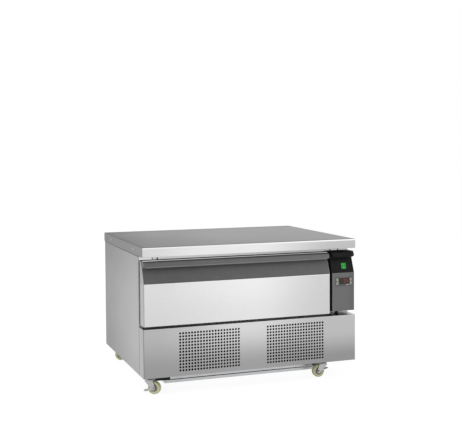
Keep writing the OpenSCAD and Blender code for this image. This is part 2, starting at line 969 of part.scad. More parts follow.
// The drain from the evaporator's niche down through the base plate to the tray
module drain_pipe() {
    color([0.85, 0.85, 0.83])
        difference() {
            union() {
                translate([drain_x, drain_y, drain_end])
                    cylinder(r = drain_r, h = cav_floor + sheet - drain_end);
                translate([drain_x, drain_y, z_floor])
                    cylinder(r = drain_r + 3, h = 6);
            }
            translate([drain_x, drain_y, drain_end - 1])
                cylinder(r = drain_r - drain_wall, h = cav_floor + sheet - drain_end + 2);
        }
}

module evaporator_coil() {
    coil_h = cav_roof - cav_floor - 2 * sheet - 30;
    color(aluminium)
        translate([niche_right - sheet - 10 - evap_w, evap_front, cav_floor + sheet]) {
            for (end = [0, evap_l])
                translate([0, end - (end > 0 ? 2 : 0), 0])
                    cube([evap_w, 2, coil_h + 12]);
            translate([evap_w, 0, 12])
                rotate([0, 0, 90])
                    finned_block([evap_l, evap_w, coil_h], evap_fins, 2, 4);
        }
}

// The cover between cavity and niche, set in the liner's wall: a round fan opening and return slots
module evaporator_cover() {
    slots = 9;
    slot_pitch = evap_l / (slots + 1);
    color(aluminium)
        difference() {
            block([cav_right - sheet, niche_front + sheet, cav_floor + sheet],
                  [cav_right, niche_back - sheet, cav_roof - sheet]);
            translate([cav_right, evap_fan_y, evap_fan_z])
                rotate([0, 90, 0])
                    cylinder(r = evap_fan_r + fan_rim, h = 6 * sheet, center = true);
            for (i = [0 : slots - 1])
                translate([cav_right, evap_front + slot_pitch * (i + 1), evap_fan_z])
                    cube([6 * sheet, evap_slot_w, evap_slot_h], center = true);
        }
}

// The evaporator fan's motor, on a bracket whose two arms reach past the fan to the cover
module evaporator_fan_motor() {
    half = evap_fan_r + fan_rim + 1 + evap_arm_t;
    back = evap_fan_x + evap_motor_l;
    color(dark_grey)
        translate([0, evap_fan_y, evap_fan_z]) {
            translate([evap_fan_x, 0, 0])
                rotate([0, 0, -90])
                    fan_motor(evap_motor_r, evap_motor_l, 1, evap_shaft_r);
            for (side = [-1, 1])
                block([cav_right, side * (half - evap_arm_t / 2) - evap_arm_t / 2, -evap_arm_h / 2],
                      [back, side * (half - evap_arm_t / 2) + evap_arm_t / 2, evap_arm_h / 2]);
            block([back - evap_bar_t, -half, -evap_arm_h / 2], [back, half, evap_arm_h / 2]);
        }
}

module evaporator_fan_blade() {
    color([0.75, 0.76, 0.78])
        translate([evap_fan_x - evap_fan_t - face_gap, evap_fan_y, evap_fan_z])
            rotate([0, 0, -90])
                fan_blade(evap_fan_r, evap_hub_r, evap_fan_t, 5, evap_shaft_r, evap_shaft_l);
}

// Runners: an outer member on the liner, a middle one, and an inner one on the drawer frame.
// Each is a channel on its side, nested in the one before.

module runner_member(side, depth_from, depth_to, half, web_first) {
    wall_x = side < 0 ? cav_left + sheet : cav_right - sheet;
    turn = side < 0 ? 0 : 1;
    web = web_first ? depth_from : depth_to - runner_sheet;
    translate([wall_x, runner_front, runner_z])
        mirror([turn, 0, 0]) {
            block([web, 0, -half], [web + runner_sheet, runner_l, half]);
            for (edge = [-half, half - runner_sheet])
                block([depth_from, 0, edge], [depth_to, runner_l, edge + runner_sheet]);
        }
}

module outer_runners() {
    color(zinc)
        for (side = [-1, 1])
            runner_member(side, 0, runner_t * 0.6, outer_half, true);
}

module middle_runners() {
    color(zinc)
        for (side = [-1, 1])
            runner_member(side, runner_sheet + runner_gap, runner_t * 0.8, middle_half, true);
}

module inner_runners() {
    color(zinc)
        for (side = [-1, 1])
            runner_member(side, 2 * (runner_sheet + runner_gap), runner_t, inner_half, false);
}

// Drawer

// The folded front skin, open at its back and top
module drawer_skin() {
    color(steel)
        difference() {
            block([dr_left, dr_front, dr_floor], [dr_right, dr_back - sheet, dr_face_top]);
            block([dr_left + sheet, dr_front + sheet, dr_floor + sheet],
                  [dr_right - sheet, dr_back, dr_face_top + 1]);
        }
}

// Outline in Y and Z of a finger recess under a lip, from the face's top edge up to the lip's top.
// Y counts back from the face, and Z up from the recess's lower edge.
function pull_outline(depth, slant_d, slant_h, proud) = [
    [0, 0],
    [slant_d, slant_h],
    [3 - proud, slant_h],
    [-proud, slant_h + 3],
    [-proud, slant_h + lip_nose],
    [lip_slope - 3, slant_h + lip_h - 1.2],
    [lip_slope + 1, slant_h + lip_h],
    [depth, slant_h + lip_h],
    [depth, 0]
];

// The moulded pull: one hollow outline along the drawer front, with a solid end cap at each end
module drawer_pull() {
    depth = dr_back - sheet - dr_front;
    color(dark_grey)
        difference() {
            translate([0, dr_front, dr_face_top]) {
                along_x(dr_left, dr_right)
                    polygon(pull_outline(depth, recess_d, recess_h, 1));
            }
            translate([0, dr_front, dr_face_top])
                along_x(dr_left + cap_len, dr_right - cap_len)
                    offset(delta = -pull_wall)
                        polygon(pull_outline(depth, recess_d, recess_h, 1));
            for (side = [-1, 1])
                translate([side < 0 ? dr_left : dr_right, dr_front, dr_lip])
                    lip_corner_cut(side, recess_d);
        }
}

// What rounds the lower outer corner of a lip, as a quarter round in X and Z
module lip_corner_cut(side, depth) {
    mirror([side > 0 ? 1 : 0, 0, 0])
        difference() {
            block([-1, -5, -1], [lip_corner, depth - 2, lip_corner]);
            translate([lip_corner, -6, lip_corner])
                rotate([-90, 0, 0])
                    cylinder(r = lip_corner, h = depth + 5);
        }
}

module drawer_foam() {
    color([0.93, 0.89, 0.72])
        block([dr_left + sheet, dr_front + sheet, dr_floor + sheet],
              [dr_right - sheet, dr_back - sheet, dr_face_top]);
}

module drawer_inner_panel() {
    color(steel)
        block([dr_left, dr_back - sheet, dr_floor], [dr_right, dr_back, dr_top]);
}

// The gasket: a closed frame of soft section that meets the face
module drawer_gasket() {
    gl = cav_left - gasket_gap;
    gr = cav_right + gasket_gap;
    gf = cav_floor - gasket_gap;
    gt = min(cav_roof + gasket_gap, dr_top - gasket_w - 1);
    color(black)
        difference() {
            block([gl - gasket_w, dr_back, gf - gasket_w], [gr + gasket_w, y_face, gt + gasket_w]);
            block([gl, dr_back - 1, gf], [gr, y_face + 1, gt]);
        }
}

// The frame that carries two food pans side by side
module drawer_frame() {
    color(steel)
        difference() {
            block([frame_left, dr_back, frame_floor], [frame_right, frame_back, frame_top]);
            for (side = [-1, 1])
                translate([frame_mid + side * (pan_w + frame_bar) / 2, dr_back + frame_end + pan_d / 2, 0]) {
                    block([-pan_w / 2, -pan_d / 2, frame_floor - 1], [pan_w / 2, pan_d / 2, frame_top + 1]);
                    block([-pan_w / 2 - ledge_w, -pan_d / 2 - ledge_w, frame_top - ledge_drop],
                          [pan_w / 2 + ledge_w, pan_d / 2 + ledge_w, frame_top + 1]);
                    block([-pan_w / 2 - ledge_w, -pan_d / 2 - ledge_w, frame_floor - 1],
                          [pan_w / 2 + ledge_w, pan_d / 2 + ledge_w, frame_top - ledge_drop - ledge_t]);
                }
        }
}

// Control column

// The moulded housing, open at its back against the face, with a small foot on the lower panel's ledge
module control_housing() {
    depth = y_face - wall_front;
    foot_x = ctl_left + 30;
    foot_y = wall_front + 24;
    foot_w = 9;
    foot_d = 16;
    color(black)
        difference() {
            union() {
                difference() {
                    union() {
                        block([ctl_left, wall_front, ctl_floor], [ctl_right, y_face, ctl_fascia_top]);
                        translate([0, wall_front, ctl_fascia_top])
                            along_x(ctl_left, ctl_right)
                                polygon(pull_outline(depth, slant_d, slant_h, fascia_t));
                    }
                    block([ctl_left + housing_wall, wall_front + housing_wall, ctl_floor + housing_wall],
                          [ctl_right - housing_wall, y_face + 1, ctl_fascia_top - 1]);
                    translate([0, wall_front, ctl_fascia_top - 4])
                        along_x(ctl_left + housing_wall, ctl_right - housing_wall)
                            polygon([[housing_wall, 0], [housing_wall, 3], [slant_d + 4, slant_h],
                                     [slant_d + 4, slant_h + lip_h],
                                     [depth + 1, slant_h + lip_h], [depth + 1, 0]]);
                }
                block([foot_x, foot_y, z_deck], [foot_x + foot_w, foot_y + foot_d, ctl_floor]);
            }
            translate([window_x, ctl_front, bezel_mid_z])
                cube([case_outer_w, 20, case_outer_h], center = true);
            on_slant()
                cube([switch_w - 4, switch_h - 4, 30], center = true);
            for (side = [-1, 1])
                translate([side < 0 ? ctl_left : ctl_right, wall_front, ctl_lip])
                    lip_corner_cut(side, slant_d);
        }
}

// Places a child on the middle of the switch, with X across, Y up the slanted face and Z out of it
module on_slant() {
    translate([ctl_left + switch_x, wall_front, ctl_fascia_top])
        rotate([90 - slant_tilt, 0, 0])
            translate([0, switch_up, 0])
                children();
}

module control_fascia() {
    color(fascia_grey)
        difference() {
            block([ctl_left, ctl_front, ctl_floor], [ctl_right, wall_front, ctl_fascia_top]);
            translate([window_x, ctl_front, bezel_mid_z])
                cube([case_outer_w, 20, case_outer_h], center = true);
        }
}

// Places a child at a key's middle on the fascia, with Z pointing out of it
module at_key(side, level) {
    translate([window_x + side * key_x, ctl_front - bezel_proud, bezel_mid_z + level * key_z])
        rotate([90, 0, 0])
            children();
}

// The temperature controller: bezel, window seat, key openings and the case behind
module controller_case() {
    front = ctl_front - bezel_proud;
    key_hole = key_depth + key_travel + key_gap;
    face_t = 2 * key_hole;
    inner_w = case_outer_w - 2 * case_wall;
    inner_h = case_outer_h - 2 * case_wall;
    color(black)
        difference() {
            union() {
                translate([window_x, front + bezel_proud / 2, bezel_mid_z])
                    cube([bezel_w, bezel_proud, bezel_h], center = true);
                block([window_x - case_outer_w / 2, front, bezel_mid_z - case_outer_h / 2],
                      [window_x + case_outer_w / 2, front + case_d, bezel_mid_z + case_outer_h / 2]);
            }
            translate([window_x, front, bezel_mid_z])
                cube([window_w, 2 * window_t, window_h], center = true);
            for (side = [-1, 1])
                for (level = [-1, 1])
                    at_key(side, level)
                        cube([key_w + 2 * key_gap, key_h + 2 * key_gap, 2 * key_hole], center = true);
            block([window_x - inner_w / 2, front + face_t, bezel_mid_z - inner_h / 2],
                  [window_x + inner_w / 2, front + case_d - case_wall, bezel_mid_z + inner_h / 2]);
        }
}

module controller_window() {
    color([0.15, 0.05, 0.05])
        block([window_x - window_w / 2, ctl_front - bezel_proud, bezel_mid_z - window_h / 2],
              [window_x + window_w / 2, ctl_front - bezel_proud + window_t, bezel_mid_z + window_h / 2]);
}

// A key: a plunger that stands just proud of the bezel
module key(side, level) {
    color([0.80, 0.80, 0.76])
        at_key(side, level)
            translate([-key_w / 2, -key_h / 2, -key_depth])
                cube([key_w, key_h, key_depth + key_proud]);
}

module key_left_upper() {
    key(-1, 1);
}

module key_left_lower() {
    key(-1, -1);
}

module key_right_upper() {
    key(1, 1);
}

module key_right_lower() {
    key(1, -1);
}

// The switch's frame, with a hinge bore across it and a case behind the slanted face
module switch_frame() {
    rim = 1.6;
    case_w = switch_w - 4;
    case_h = switch_h - 4;
    back = rocker_depth + 6;
    color(black)
        on_slant()
            difference() {
                union() {
                    translate([0, 0, rim / 2])
                        cube([switch_w, switch_h, rim], center = true);
                    translate([-case_w / 2, -case_h / 2, -back])
                        cube([case_w, case_h, back + rim]);
                }
                translate([-rocker_w / 2 - face_gap, -rocker_h / 2 - rocker_room, -rocker_depth])
                    cube([rocker_w + 2 * face_gap, rocker_h + 2 * rocker_room, rocker_depth + 10]);
                translate([0, 0, -rocker_pivot])
                    rotate([0, 90, 0])
                        cylinder(r = rocker_pin_r + shaft_gap, h = case_w - 0.6, center = true);
            }
}

// The rocker on its two pin ends, with its lower end pressed in
module switch_rocker() {
    reach = rocker_h / 2;
    color([0.15, 0.75, 0.25])
        on_slant()
            translate([0, 0, -rocker_pivot])
                rotate([rocker_tip, 0, 0])
                    rotate([0, 90, 0])
                        union() {
                            cylinder(r = rocker_pin_r, h = switch_w - 5, center = true);
                            rotate([0, 0, 90])
                                linear_extrude(height = rocker_w, center = true)
                                    polygon([[-reach, 1.0], [-reach, 5.6], [0, 4.2], [reach, 5.6],
                                             [reach, 1.0], [3.5, -3.5], [-3.5, -3.5]]);
                        }
}

// Casters

// Places a child at each of a caster's four bolts
module bolt_places() {
    for (x = [-1, 1])
        for (y = [-1, 1])
            translate([x * bolt_pitch / 2, y * bolt_pitch / 2, 0])
                children();
}

module caster_plates() {
    color(zinc)
        for (side = [0, 1])
            for (row = [0, 1])
                at_caster(side, row)
                    difference() {
                        union() {
                            translate([-plate_w / 2, -plate_w / 2, plate_z])
                                cube([plate_w, plate_w, plate_t]);
                            translate([0, 0, head_z])
                                cylinder(r = head_r, h = head_h);
                        }
                        translate([0, 0, head_z - 1])
                            cylinder(r = kingpin_r + shaft_gap, h = head_h + plate_t + 2);
                        bolt_places()
                            translate([0, 0, plate_z - 1])
                                cylinder(r = bolt_r + bolt_clear, h = plate_t + 2);
                    }
}

module caster_bolts() {
    nut_r = bolt_r * 1.8;
    color(zinc)
        for (side = [0, 1])
            for (row = [0, 1])
                at_caster(side, row)
                    bolt_places() {
                        translate([0, 0, plate_z - 4])
                            cylinder(r = nut_r, h = 4, $fn = 6);
                        translate([0, 0, plate_z - 5])
                            cylinder(r = bolt_r, h = plate_t + base_t + 6);
                        translate([0, 0, z_floor])
                            cylinder(r = nut_r, h = 3.5, $fn = 6);
                    }
}

// A swivelling fork: kingpin, crown, two legs that narrow to the axle, and the axle itself.
// The axle's heads leave room for a brake pedal's arm where there is one.
module fork(braked) {
    leg_r = 8.5;
    axle_end = braked ? pedal_out + face_gap : leg_out;
    axle_head = 2.8;
    back = -head_r + 4;
    length = 2 * head_r - 6;
    color(zinc) {
        difference() {
            union() {
                translate([0, 0, crown_z])
                    cylinder(r = head_r - 1, h = crown_top - crown_z);
                translate([0, 0, crown_z])
                    cylinder(r = kingpin_r, h = z_base - face_gap - crown_z);
                translate([back, -leg_out, crown_z])
                    cube([length, 2 * leg_out, crown_top - crown_z]);
                for (side = [-1, 1])
                    translate([0, side > 0 ? leg_out : -leg_in, 0])
                        rotate([90, 0, 0])
                            linear_extrude(height = fork_t)
                                hull() {
                                    translate([back, crown_z])
                                        square([length, crown_top - crown_z]);
                                    translate([trail, axle_z])
                                        circle(r = leg_r);
                                }
            }
            translate([trail, 0, axle_z])
                rotate([90, 0, 0])
                    cylinder(r = axle_r, h = 4 * leg_out, center = true);
        }
        translate([trail, 0, axle_z])
            rotate([90, 0, 0]) {
                cylinder(r = axle_r, h = 2 * axle_end + axle_head, center = true);
                for (side = [-1, 1])
                    translate([0, 0, side * (axle_end + axle_head / 2)])
                        cylinder(r = axle_r + 2, h = axle_head, center = true);
            }
    }
}

// A wheel on its axle: tread, recessed disc and hub, as one turned outline
module wheel() {
    bore = axle_r + shaft_gap;
    half = wheel_w / 2;
    hub_half = leg_in - face_gap;
    hub_r = 7;
    disc_half = wheel_w * 0.28;
    disc_r = wheel_r - 9;
    rim_r = wheel_r - 7.5;
    edge = 2;
    color(cream)
        translate([trail, 0, axle_z])
            rotate([90, 0, 0])
                rotate_extrude($fn = 64)
                    polygon([[bore, -hub_half], [hub_r, -hub_half], [hub_r + 1, -disc_half],
                             [disc_r, -disc_half], [rim_r, -half], [wheel_r - edge, -half],
                             [wheel_r, -half + edge], [wheel_r, half - edge], [wheel_r - edge, half],
                             [rim_r, half], [disc_r, disc_half], [hub_r + 1, disc_half],
                             [hub_r, hub_half], [bore, hub_half]]);
}

// A brake pedal: an arm that pivots on the axle outside the fork, and a tread plate beyond the wheel
module brake_pedal(lift) {
    arm_r = wheel_r + 3;
    arm_h = 8;
    bridge = 8;
    tread = 9;
    tread_t = 2.4;
    color(zinc)
        translate([trail, 0, axle_z])
            rotate([0, lift, 0])
                union() {
                    translate([0, -pedal_in, 0])
                        rotate([90, 0, 0])
                            linear_extrude(height = pedal_t)
                                difference() {
                                    union() {
                                        circle(r = axle_r + 3);
                                        translate([-arm_r - bridge, -arm_h / 2])
                                            square([arm_r + bridge, arm_h]);
                                    }
                                    circle(r = axle_r + shaft_gap);
                                }
                    translate([-arm_r - bridge, -pedal_out, -1])
                        cube([bridge, pedal_out + pedal_w / 2, tread_t]);
                    translate([-arm_r - bridge - tread, -pedal_w / 2, -1])
                        cube([tread + 2, pedal_w, tread_t]);
                }
}

module fork_front_left() {
    at_fork(0, 0)
        fork(true);
}

module fork_front_right() {
    at_fork(1, 0)
        fork(true);
}

module fork_rear_left() {
    at_fork(0, 1)
        fork(false);
}

module fork_rear_right() {
    at_fork(1, 1)
        fork(false);
}

module wheel_front_left() {
    at_fork(0, 0)
        wheel();
}

module wheel_front_right() {
    at_fork(1, 0)
        wheel();
}

module wheel_rear_left() {
    at_fork(0, 1)
        wheel();
}

module wheel_rear_right() {
    at_fork(1, 1)
        wheel();
}

module brake_pedal_left() {
    at_fork(0, 0)
        brake_pedal(-17);
}

module brake_pedal_right() {
    at_fork(1, 0)
        brake_pedal(12);
}

worktop_skin();
worktop_board();
worktop_fixings();
left_side_panel();
right_side_panel();
back_panel();
face_frame();
cabinet_floor();
cabinet_foam();
inner_liner();
base_plate();
cross_channel();
evaporation_tray();
front_grille_panel();
cord_gland();
compressor_shell();
compressor_feet();
compressor_terminal_box();
condenser_coil();
condenser_shroud();
condenser_fan_motor();
condenser_fan_blade();
refrigerant_pipes();
filter_drier();
drain_pipe();
evaporator_coil();
evaporator_cover();
evaporator_fan_motor();
evaporator_fan_blade();
outer_runners();
middle_runners();
inner_runners();
drawer_skin();
drawer_pull();
drawer_foam();
drawer_inner_panel();
drawer_gasket();
drawer_frame();
control_housing();
control_fascia();
controller_case();
controller_window();
key_left_upper();
key_left_lower();
key_right_upper();
key_right_lower();
switch_frame();
switch_rocker();
caster_plates();
caster_bolts();
fork_front_left();
fork_front_right();
fork_rear_left();
fork_rear_right();
wheel_front_left();
wheel_front_right();
wheel_rear_left();
wheel_rear_right();
brake_pedal_left();
brake_pedal_right();
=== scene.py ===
import math

import bmesh
import bpy
import numpy as np
from mathutils import Matrix, Vector


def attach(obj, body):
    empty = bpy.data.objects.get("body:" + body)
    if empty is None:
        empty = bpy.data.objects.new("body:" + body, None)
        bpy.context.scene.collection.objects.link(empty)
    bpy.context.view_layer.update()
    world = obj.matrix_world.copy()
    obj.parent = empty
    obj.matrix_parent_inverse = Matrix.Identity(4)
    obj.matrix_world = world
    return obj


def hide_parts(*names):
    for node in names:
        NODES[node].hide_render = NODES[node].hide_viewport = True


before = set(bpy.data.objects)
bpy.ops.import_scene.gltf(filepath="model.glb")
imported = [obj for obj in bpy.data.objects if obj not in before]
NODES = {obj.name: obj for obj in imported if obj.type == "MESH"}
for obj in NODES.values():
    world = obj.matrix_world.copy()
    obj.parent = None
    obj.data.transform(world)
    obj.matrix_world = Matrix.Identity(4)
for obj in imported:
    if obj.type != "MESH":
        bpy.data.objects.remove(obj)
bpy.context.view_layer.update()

# Refrigerated drawer unit on casters. Sizes are in millimetres in the unit's own frame:
# X to the right, Y to the back, Z up, with the origin on the floor under the worktop's middle.

MM = 0.001
CABINET, DRAWER = "cabinet", "drawer"

# The worktop's half sizes, the cabinet's side, face and back, and the heights of its base, its
# floor plate, the drawer's deck, the skirt's edge and the worktop
TOP_X, TOP_Y = 450.0, 350.0
SIDE_X, FACE_Y, BACK_Y = 448.0, -280.0, 348.0
BASE_Z, FLOOR_Z, DECK_Z, UNDER_Z, WORK_Z = 72.0, 74.0, 261.0, 537.0, 574.0
SHEET = 1.2
IN_X, IN_Y = SIDE_X - SHEET, BACK_Y - SHEET
# The cold space: left, right, floor, roof
CAVITY = (-405.0, 301.0, 302.0, 497.0)
DRAW_L, DRAW_R, DRAW_F, DRAW_B = -445.0, 334.0, -348.0, -286.0
DRAW_LOW, DRAW_FACE, DRAW_TOP = 270.5, 434.0, 519.0
# The control column, with the depth and height of its slanted face, its display and its switch
COL_L, COL_R, COL_F, COL_WALL = 345.0, 445.0, -347.5, -345.5
COL_LOW, COL_FACE = 279.0, 436.5
SLANT_D, SLANT_H = 25.0, 62.5
WINDOW_X, BEZEL_Z = 397.5, 400.0
SWITCH_RIGHT, SWITCH_UP, POCKET_H = 56.5, 28.0, 14.0
TRAIL, AXLE_Z = 20.0, 25.0
HUB = (TRAIL, 0.0, AXLE_Z)
# Each caster's swivel axis in X and Y, then how far its plate and its fork are turned, in degrees
CASTERS = {"front_left": (-409.0, -288.0, 0.0, -40.0), "front_right": (327.0, -288.0, 180.0, 180.0),
           "rear_left": (-409.0, 314.0, 0.0, 0.0), "rear_right": (327.0, 314.0, 180.0, 180.0)}
# The photograph's viewpoint: its place in metres, its angles in degrees, and in pixels the picture's
# size, the focal length and the point that the camera faces
VIEW_PLACE = (-1.27972, -3.71256, 0.94886)
YAW, PITCH, ROLL = -20.247, 2.422, -0.330
PHOTO_W, PHOTO_H, FOCAL_PX, FACED_U, FACED_V = 462, 421, 915.16, 243.65, 186.83

# Shapes as arrays

ORDER = {"x": [1, 2, 0], "y": [0, 2, 1], "z": [0, 1, 2]}


def long(v):
    """The length of each vector."""
    return np.linalg.norm(v, axis=-1)


def unit(v):
    """Each vector brought to length one."""
    return v / np.maximum(long(v), 1e-9)[..., None]


def flat(axis, outline, at):
    """An outline of (u, v) laid in the plane across an axis, at one place along it."""
    points = np.empty((len(outline), 3))
    points[:, ORDER[axis]] = np.c_[outline, np.full(len(outline), at)]
    return points


def rect(u0, u1, v0, v1, r=0.0, n=5):
    """A rectangle whose corners are quarter rounds: corner centre + r * (cos a, sin a)."""
    a = (np.arange(4)[:, None] * np.pi / 2 + np.linspace(0, np.pi / 2, n)).ravel()
    cu = np.repeat([u1 - r, u0 + r, u0 + r, u1 - r], n)
    cv = np.repeat([v1 - r, v1 - r, v0 + r, v0 + r], n)
    return np.c_[cu + r * np.cos(a), cv + r * np.sin(a)]


def circle(u, v, r, n):
    """Points u + r cos a, v + r sin a for n equal steps of a."""
    a = np.arange(n) * 2 * np.pi / n
    return np.c_[u + r * np.cos(a), v + r * np.sin(a)]


def edge_round(r, n):
    """(inset, drop) over a rounded edge: r (1 - sin t), r (1 - cos t) for t over a quarter turn."""
    return [(r * (1 - math.sin(t)), r * (1 - math.cos(t))) for t in np.linspace(0, np.pi / 2, n)]


def fillet(path, r, n=4, closed=False):
    """Each corner becomes a round of radius r. Its centre lies on the corner's bisector,
    r / sin(half the angle) away, and the points turn from one side's foot to the other's."""
    p = np.asarray(path, float)
    r = np.full(len(p), r, float)
    a, b = np.roll(p, 1, 0) - p, np.roll(p, -1, 0) - p
    most = 0.49 * np.minimum(long(a), long(b))
    a, b = unit(a), unit(b)
    half = np.arccos(np.clip((a * b).sum(1), -0.9999999, 0.9999999)) / 2
    if not closed:
        r[[0, -1]] = 0
    cut = np.minimum(r / np.tan(half), most)
    r = cut * np.tan(half)
    centre = p + unit(a + b) * (r / np.sin(half))[:, None]
    start, end = p + a * cut[:, None] - centre, p + b * cut[:, None] - centre
    turn = np.maximum(np.pi - 2 * half, 1e-4)[:, None]
    t = np.linspace(0, 1, n + 1)
    near, far = [(np.sin(s * turn) / np.sin(turn))[..., None] for s in (1 - t, t)]
    points = centre[:, None] + near * start[:, None] + far * end[:, None]
    points = np.where((r < 1e-6)[:, None, None], p[:, None], points).reshape(-1, p.shape[1])
    keep = np.ones(len(points), bool)
    keep[1:] = long(np.diff(points, axis=0)) > 1e-5
    if closed and long(points[0] - points[-1]) < 1e-5:
        keep[-1] = False
    return points[keep]


def folded(path, t, r, n=4):
    """The closed section of a folded sheet: a rounded path, and the same path moved t to its left."""
    outer = fillet(path, r, n)
    run = unit(np.diff(outer, axis=0))
    first, last = np.vstack([run[:1], run]), np.vstack([run, run[-1:]])
    mean = unit(first + last)
    reach = t / np.maximum((mean * first).sum(1), 0.3)
    inner = outer + np.c_[-mean[:, 1], mean[:, 0]] * reach[:, None]
    return np.vstack([outer, inner[::-1]])


def hull(points):
    """The convex outline round some flat points, anticlockwise."""
    points = sorted(map(tuple, points))
    rows = []
    for sweep in (points, points[::-1]):
        row = []
        for p in sweep:
            while len(row) > 1 and ((row[-1][0] - row[-2][0]) * (p[1] - row[-2][1])
                                    - (row[-1][1] - row[-2][1]) * (p[0] - row[-2][0])) <= 0:
                row.pop()
            row.append(p)
        rows += row[:-1]
    return np.array(rows)


def grid(points, wrap_rows=False, wrap_cols=True, caps=False):
    """Quads between neighbouring rows and columns of a grid of points (rows, cols, 3), joined round
    where it wraps, with one face over the first row and one over the last where caps is set."""
    m, k = points.shape[:2]
    i = np.arange(m if wrap_rows else m - 1)[:, None]
    j = np.arange(k if wrap_cols else k - 1)
    i2, j2 = (i + 1) % m, (j + 1) % k
    quads = np.broadcast_arrays(i * k + j, i * k + j2, i2 * k + j2, i2 * k + j)
    faces = np.stack(quads, -1).reshape(-1, 4).tolist()
    if caps:
        faces += [list(range(k))[::-1], list(range((m - 1) * k, m * k))]
    return points.reshape(-1, 3), faces


def loft(loops, ring=False):
    """Loops of equal count joined one to the next, closed at both ends or round to the first."""
    return grid(np.stack(loops), wrap_rows=ring, caps=not ring)


def prism(axis, outline, lo, hi):
    """An outline carried straight along an axis from lo to hi."""
    return loft([flat(axis, outline, lo), flat(axis, outline, hi)])


def box(lo, hi, r=0.0, axis="z", n=4):
    """A block between two corners, with its edges along one axis rounded."""
    u, v, w = ORDER[axis]
    return prism(axis, rect(lo[u], hi[u], lo[v], hi[v], r, n), lo[w], hi[w])


def stepped(axis, edges, line, r, n, least=None, ring=False):
    """Rounded rectangles joined along an axis: each (inset, place) of a line draws the four edges in.
    The corners' radius stays, or shrinks with the inset down to the least one."""
    u0, u1, v0, v1 = edges
    radius = [r if least is None else max(r - s, least) for s, _ in line]
    return loft([flat(axis, rect(u0 + s, u1 - s, v0 + s, v1 - s, c, n), at)
                 for c, (s, at) in zip(radius, line)], ring)


def lathe(profile, centre, axis="z", steps=32, ring=False):
    """A profile of (radius, height) turned about an axis: (radius cos a, radius sin a, height)."""
    r, h = np.asarray(profile, float).T
    a = (np.arange(steps) * 2 * np.pi / steps)[:, None]
    points = np.empty((steps, len(r), 3))
    points[..., ORDER[axis]] = np.stack(np.broadcast_arrays(r * np.cos(a), r * np.sin(a), h), -1)
    return grid(points + centre, wrap_rows=True, wrap_cols=ring)


def turned(part, axis, degrees, centre=(0, 0, 0), shift=(0, 0, 0)):
    """A part turned about a line along an axis through a centre, then shifted. In the plane across
    the axis (u, v) becomes (u cos a - v sin a, u sin a + v cos a)."""
    c, s = math.cos(math.radians(degrees)), math.sin(math.radians(degrees))
    u, v, _ = ORDER[axis]
    p = part[0] - centre
    p[:, u], p[:, v] = c * p[:, u] - s * p[:, v], s * p[:, u] + c * p[:, v]
    return p + centre + shift, part[1]


def sheet_with_windows(axis, us, vs, is_open, lo, hi, walls=True):
    """A flat sheet between lo and hi on a grid of lines us and vs, without the cells where is_open
    is true: each kept cell has its two faces, and a wall wherever its neighbour is missing."""
    nv = len(vs)
    plane = np.stack(np.meshgrid(us, vs, indexing="ij"), -1).reshape(-1, 2)
    top, kept = len(plane), np.pad(~is_open, 1)
    i, j = np.nonzero(~is_open)
    a, b, c, d = i * nv + j, (i + 1) * nv + j, (i + 1) * nv + j + 1, i * nv + j + 1
    faces = [np.c_[a, b, c, d], np.c_[a, d, c, b] + top]
    for p, q, di, dj in ((a, b, 0, -1), (b, c, 1, 0), (c, d, 0, 1), (d, a, -1, 0)) if walls else ():
        faces.append(np.c_[p, p + top, q + top, q][~kept[i + 1 + di, j + 1 + dj]])
    return np.vstack([flat(axis, plane, lo), flat(axis, plane, hi)]), np.vstack(faces).tolist()


# Pieces


def placed(name, data):
    """An object of some data, in the scene."""
    made = bpy.data.objects.new(name, data)
    bpy.context.scene.collection.objects.link(made)
    return made


def cleaned(mesh, whole_faces=False):
    """Joins points that meet, drops slivers or joins flat triangles, and turns all faces outward."""
    meeting, sliver, flat_turn = 2e-6, 1e-7, math.radians(0.5)
    work = bmesh.new()
    work.from_mesh(mesh)
    bmesh.ops.remove_doubles(work, verts=work.verts, dist=meeting)
    if whole_faces:
        bmesh.ops.dissolve_limit(work, angle_limit=flat_turn, verts=work.verts, edges=work.edges)
    else:
        bmesh.ops.dissolve_degenerate(work, dist=sliver, edges=work.edges)
    bmesh.ops.recalc_face_normals(work, faces=work.faces)
    work.to_mesh(mesh)
    work.free()
    return mesh


def piece(name, parts, material, replaces=(), bevel=0.0, segments=2, angle=32, body=CABINET,
          also=()):
    """Puts shapes into one mesh at the origin, in metres, closes and orients it, and seats it.
    What is in also is a list of more materials, each with its own shapes of the same piece."""
    groups = [(material, parts), *also]
    points, faces, wears, count = [], [], [], 0
    for index, (_, shapes) in enumerate(groups):
        for shape, shape_faces in shapes:
            points.append(shape)
            faces += [[count + i for i in face] for face in shape_faces]
            wears += [index] * len(shape_faces)
            count += len(shape)
    mesh = bpy.data.meshes.new(name)
    mesh.from_pydata((np.concatenate(points) * MM).tolist(), [], faces)
    mesh.polygons.foreach_set("material_index", wears)
    seat(name, cleaned(mesh), body, [wear for wear, _ in groups], replaces, bevel, segments, angle)


def seat(name, mesh, body, materials, replaces, bevel, segments, angle):
    """Makes the object of a mesh, with its materials, smooth shading, rounded edges where asked, and body,
    and hides the CAD nodes that it replaces.
    """
    mesh.shade_smooth()
    mesh.set_sharp_from_angle(angle=math.radians(angle))
    for material in materials:
        mesh.materials.append(material)
    made = placed(name, mesh)
    if bevel:
        soft = made.modifiers.new("edges", "BEVEL")
        soft.width, soft.segments = bevel * MM, segments
        soft.limit_method, soft.angle_limit = "ANGLE", math.radians(angle)
        soft.harden_normals = True
    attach(made, body)
    if replaces:
        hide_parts(*replaces)


def refined(node, material, bevel=0.4, segments=2, body=CABINET):
    """A CAD node's own shape with its triangles joined to whole faces and its edges rounded."""
    mesh = NODES[node].data.copy()
    mesh.transform(NODES[node].matrix_world)
    cleaned(mesh, whole_faces=True).materials.clear()
    seat(node + "_finished", mesh, body, [material], (node,), bevel, segments, 32)


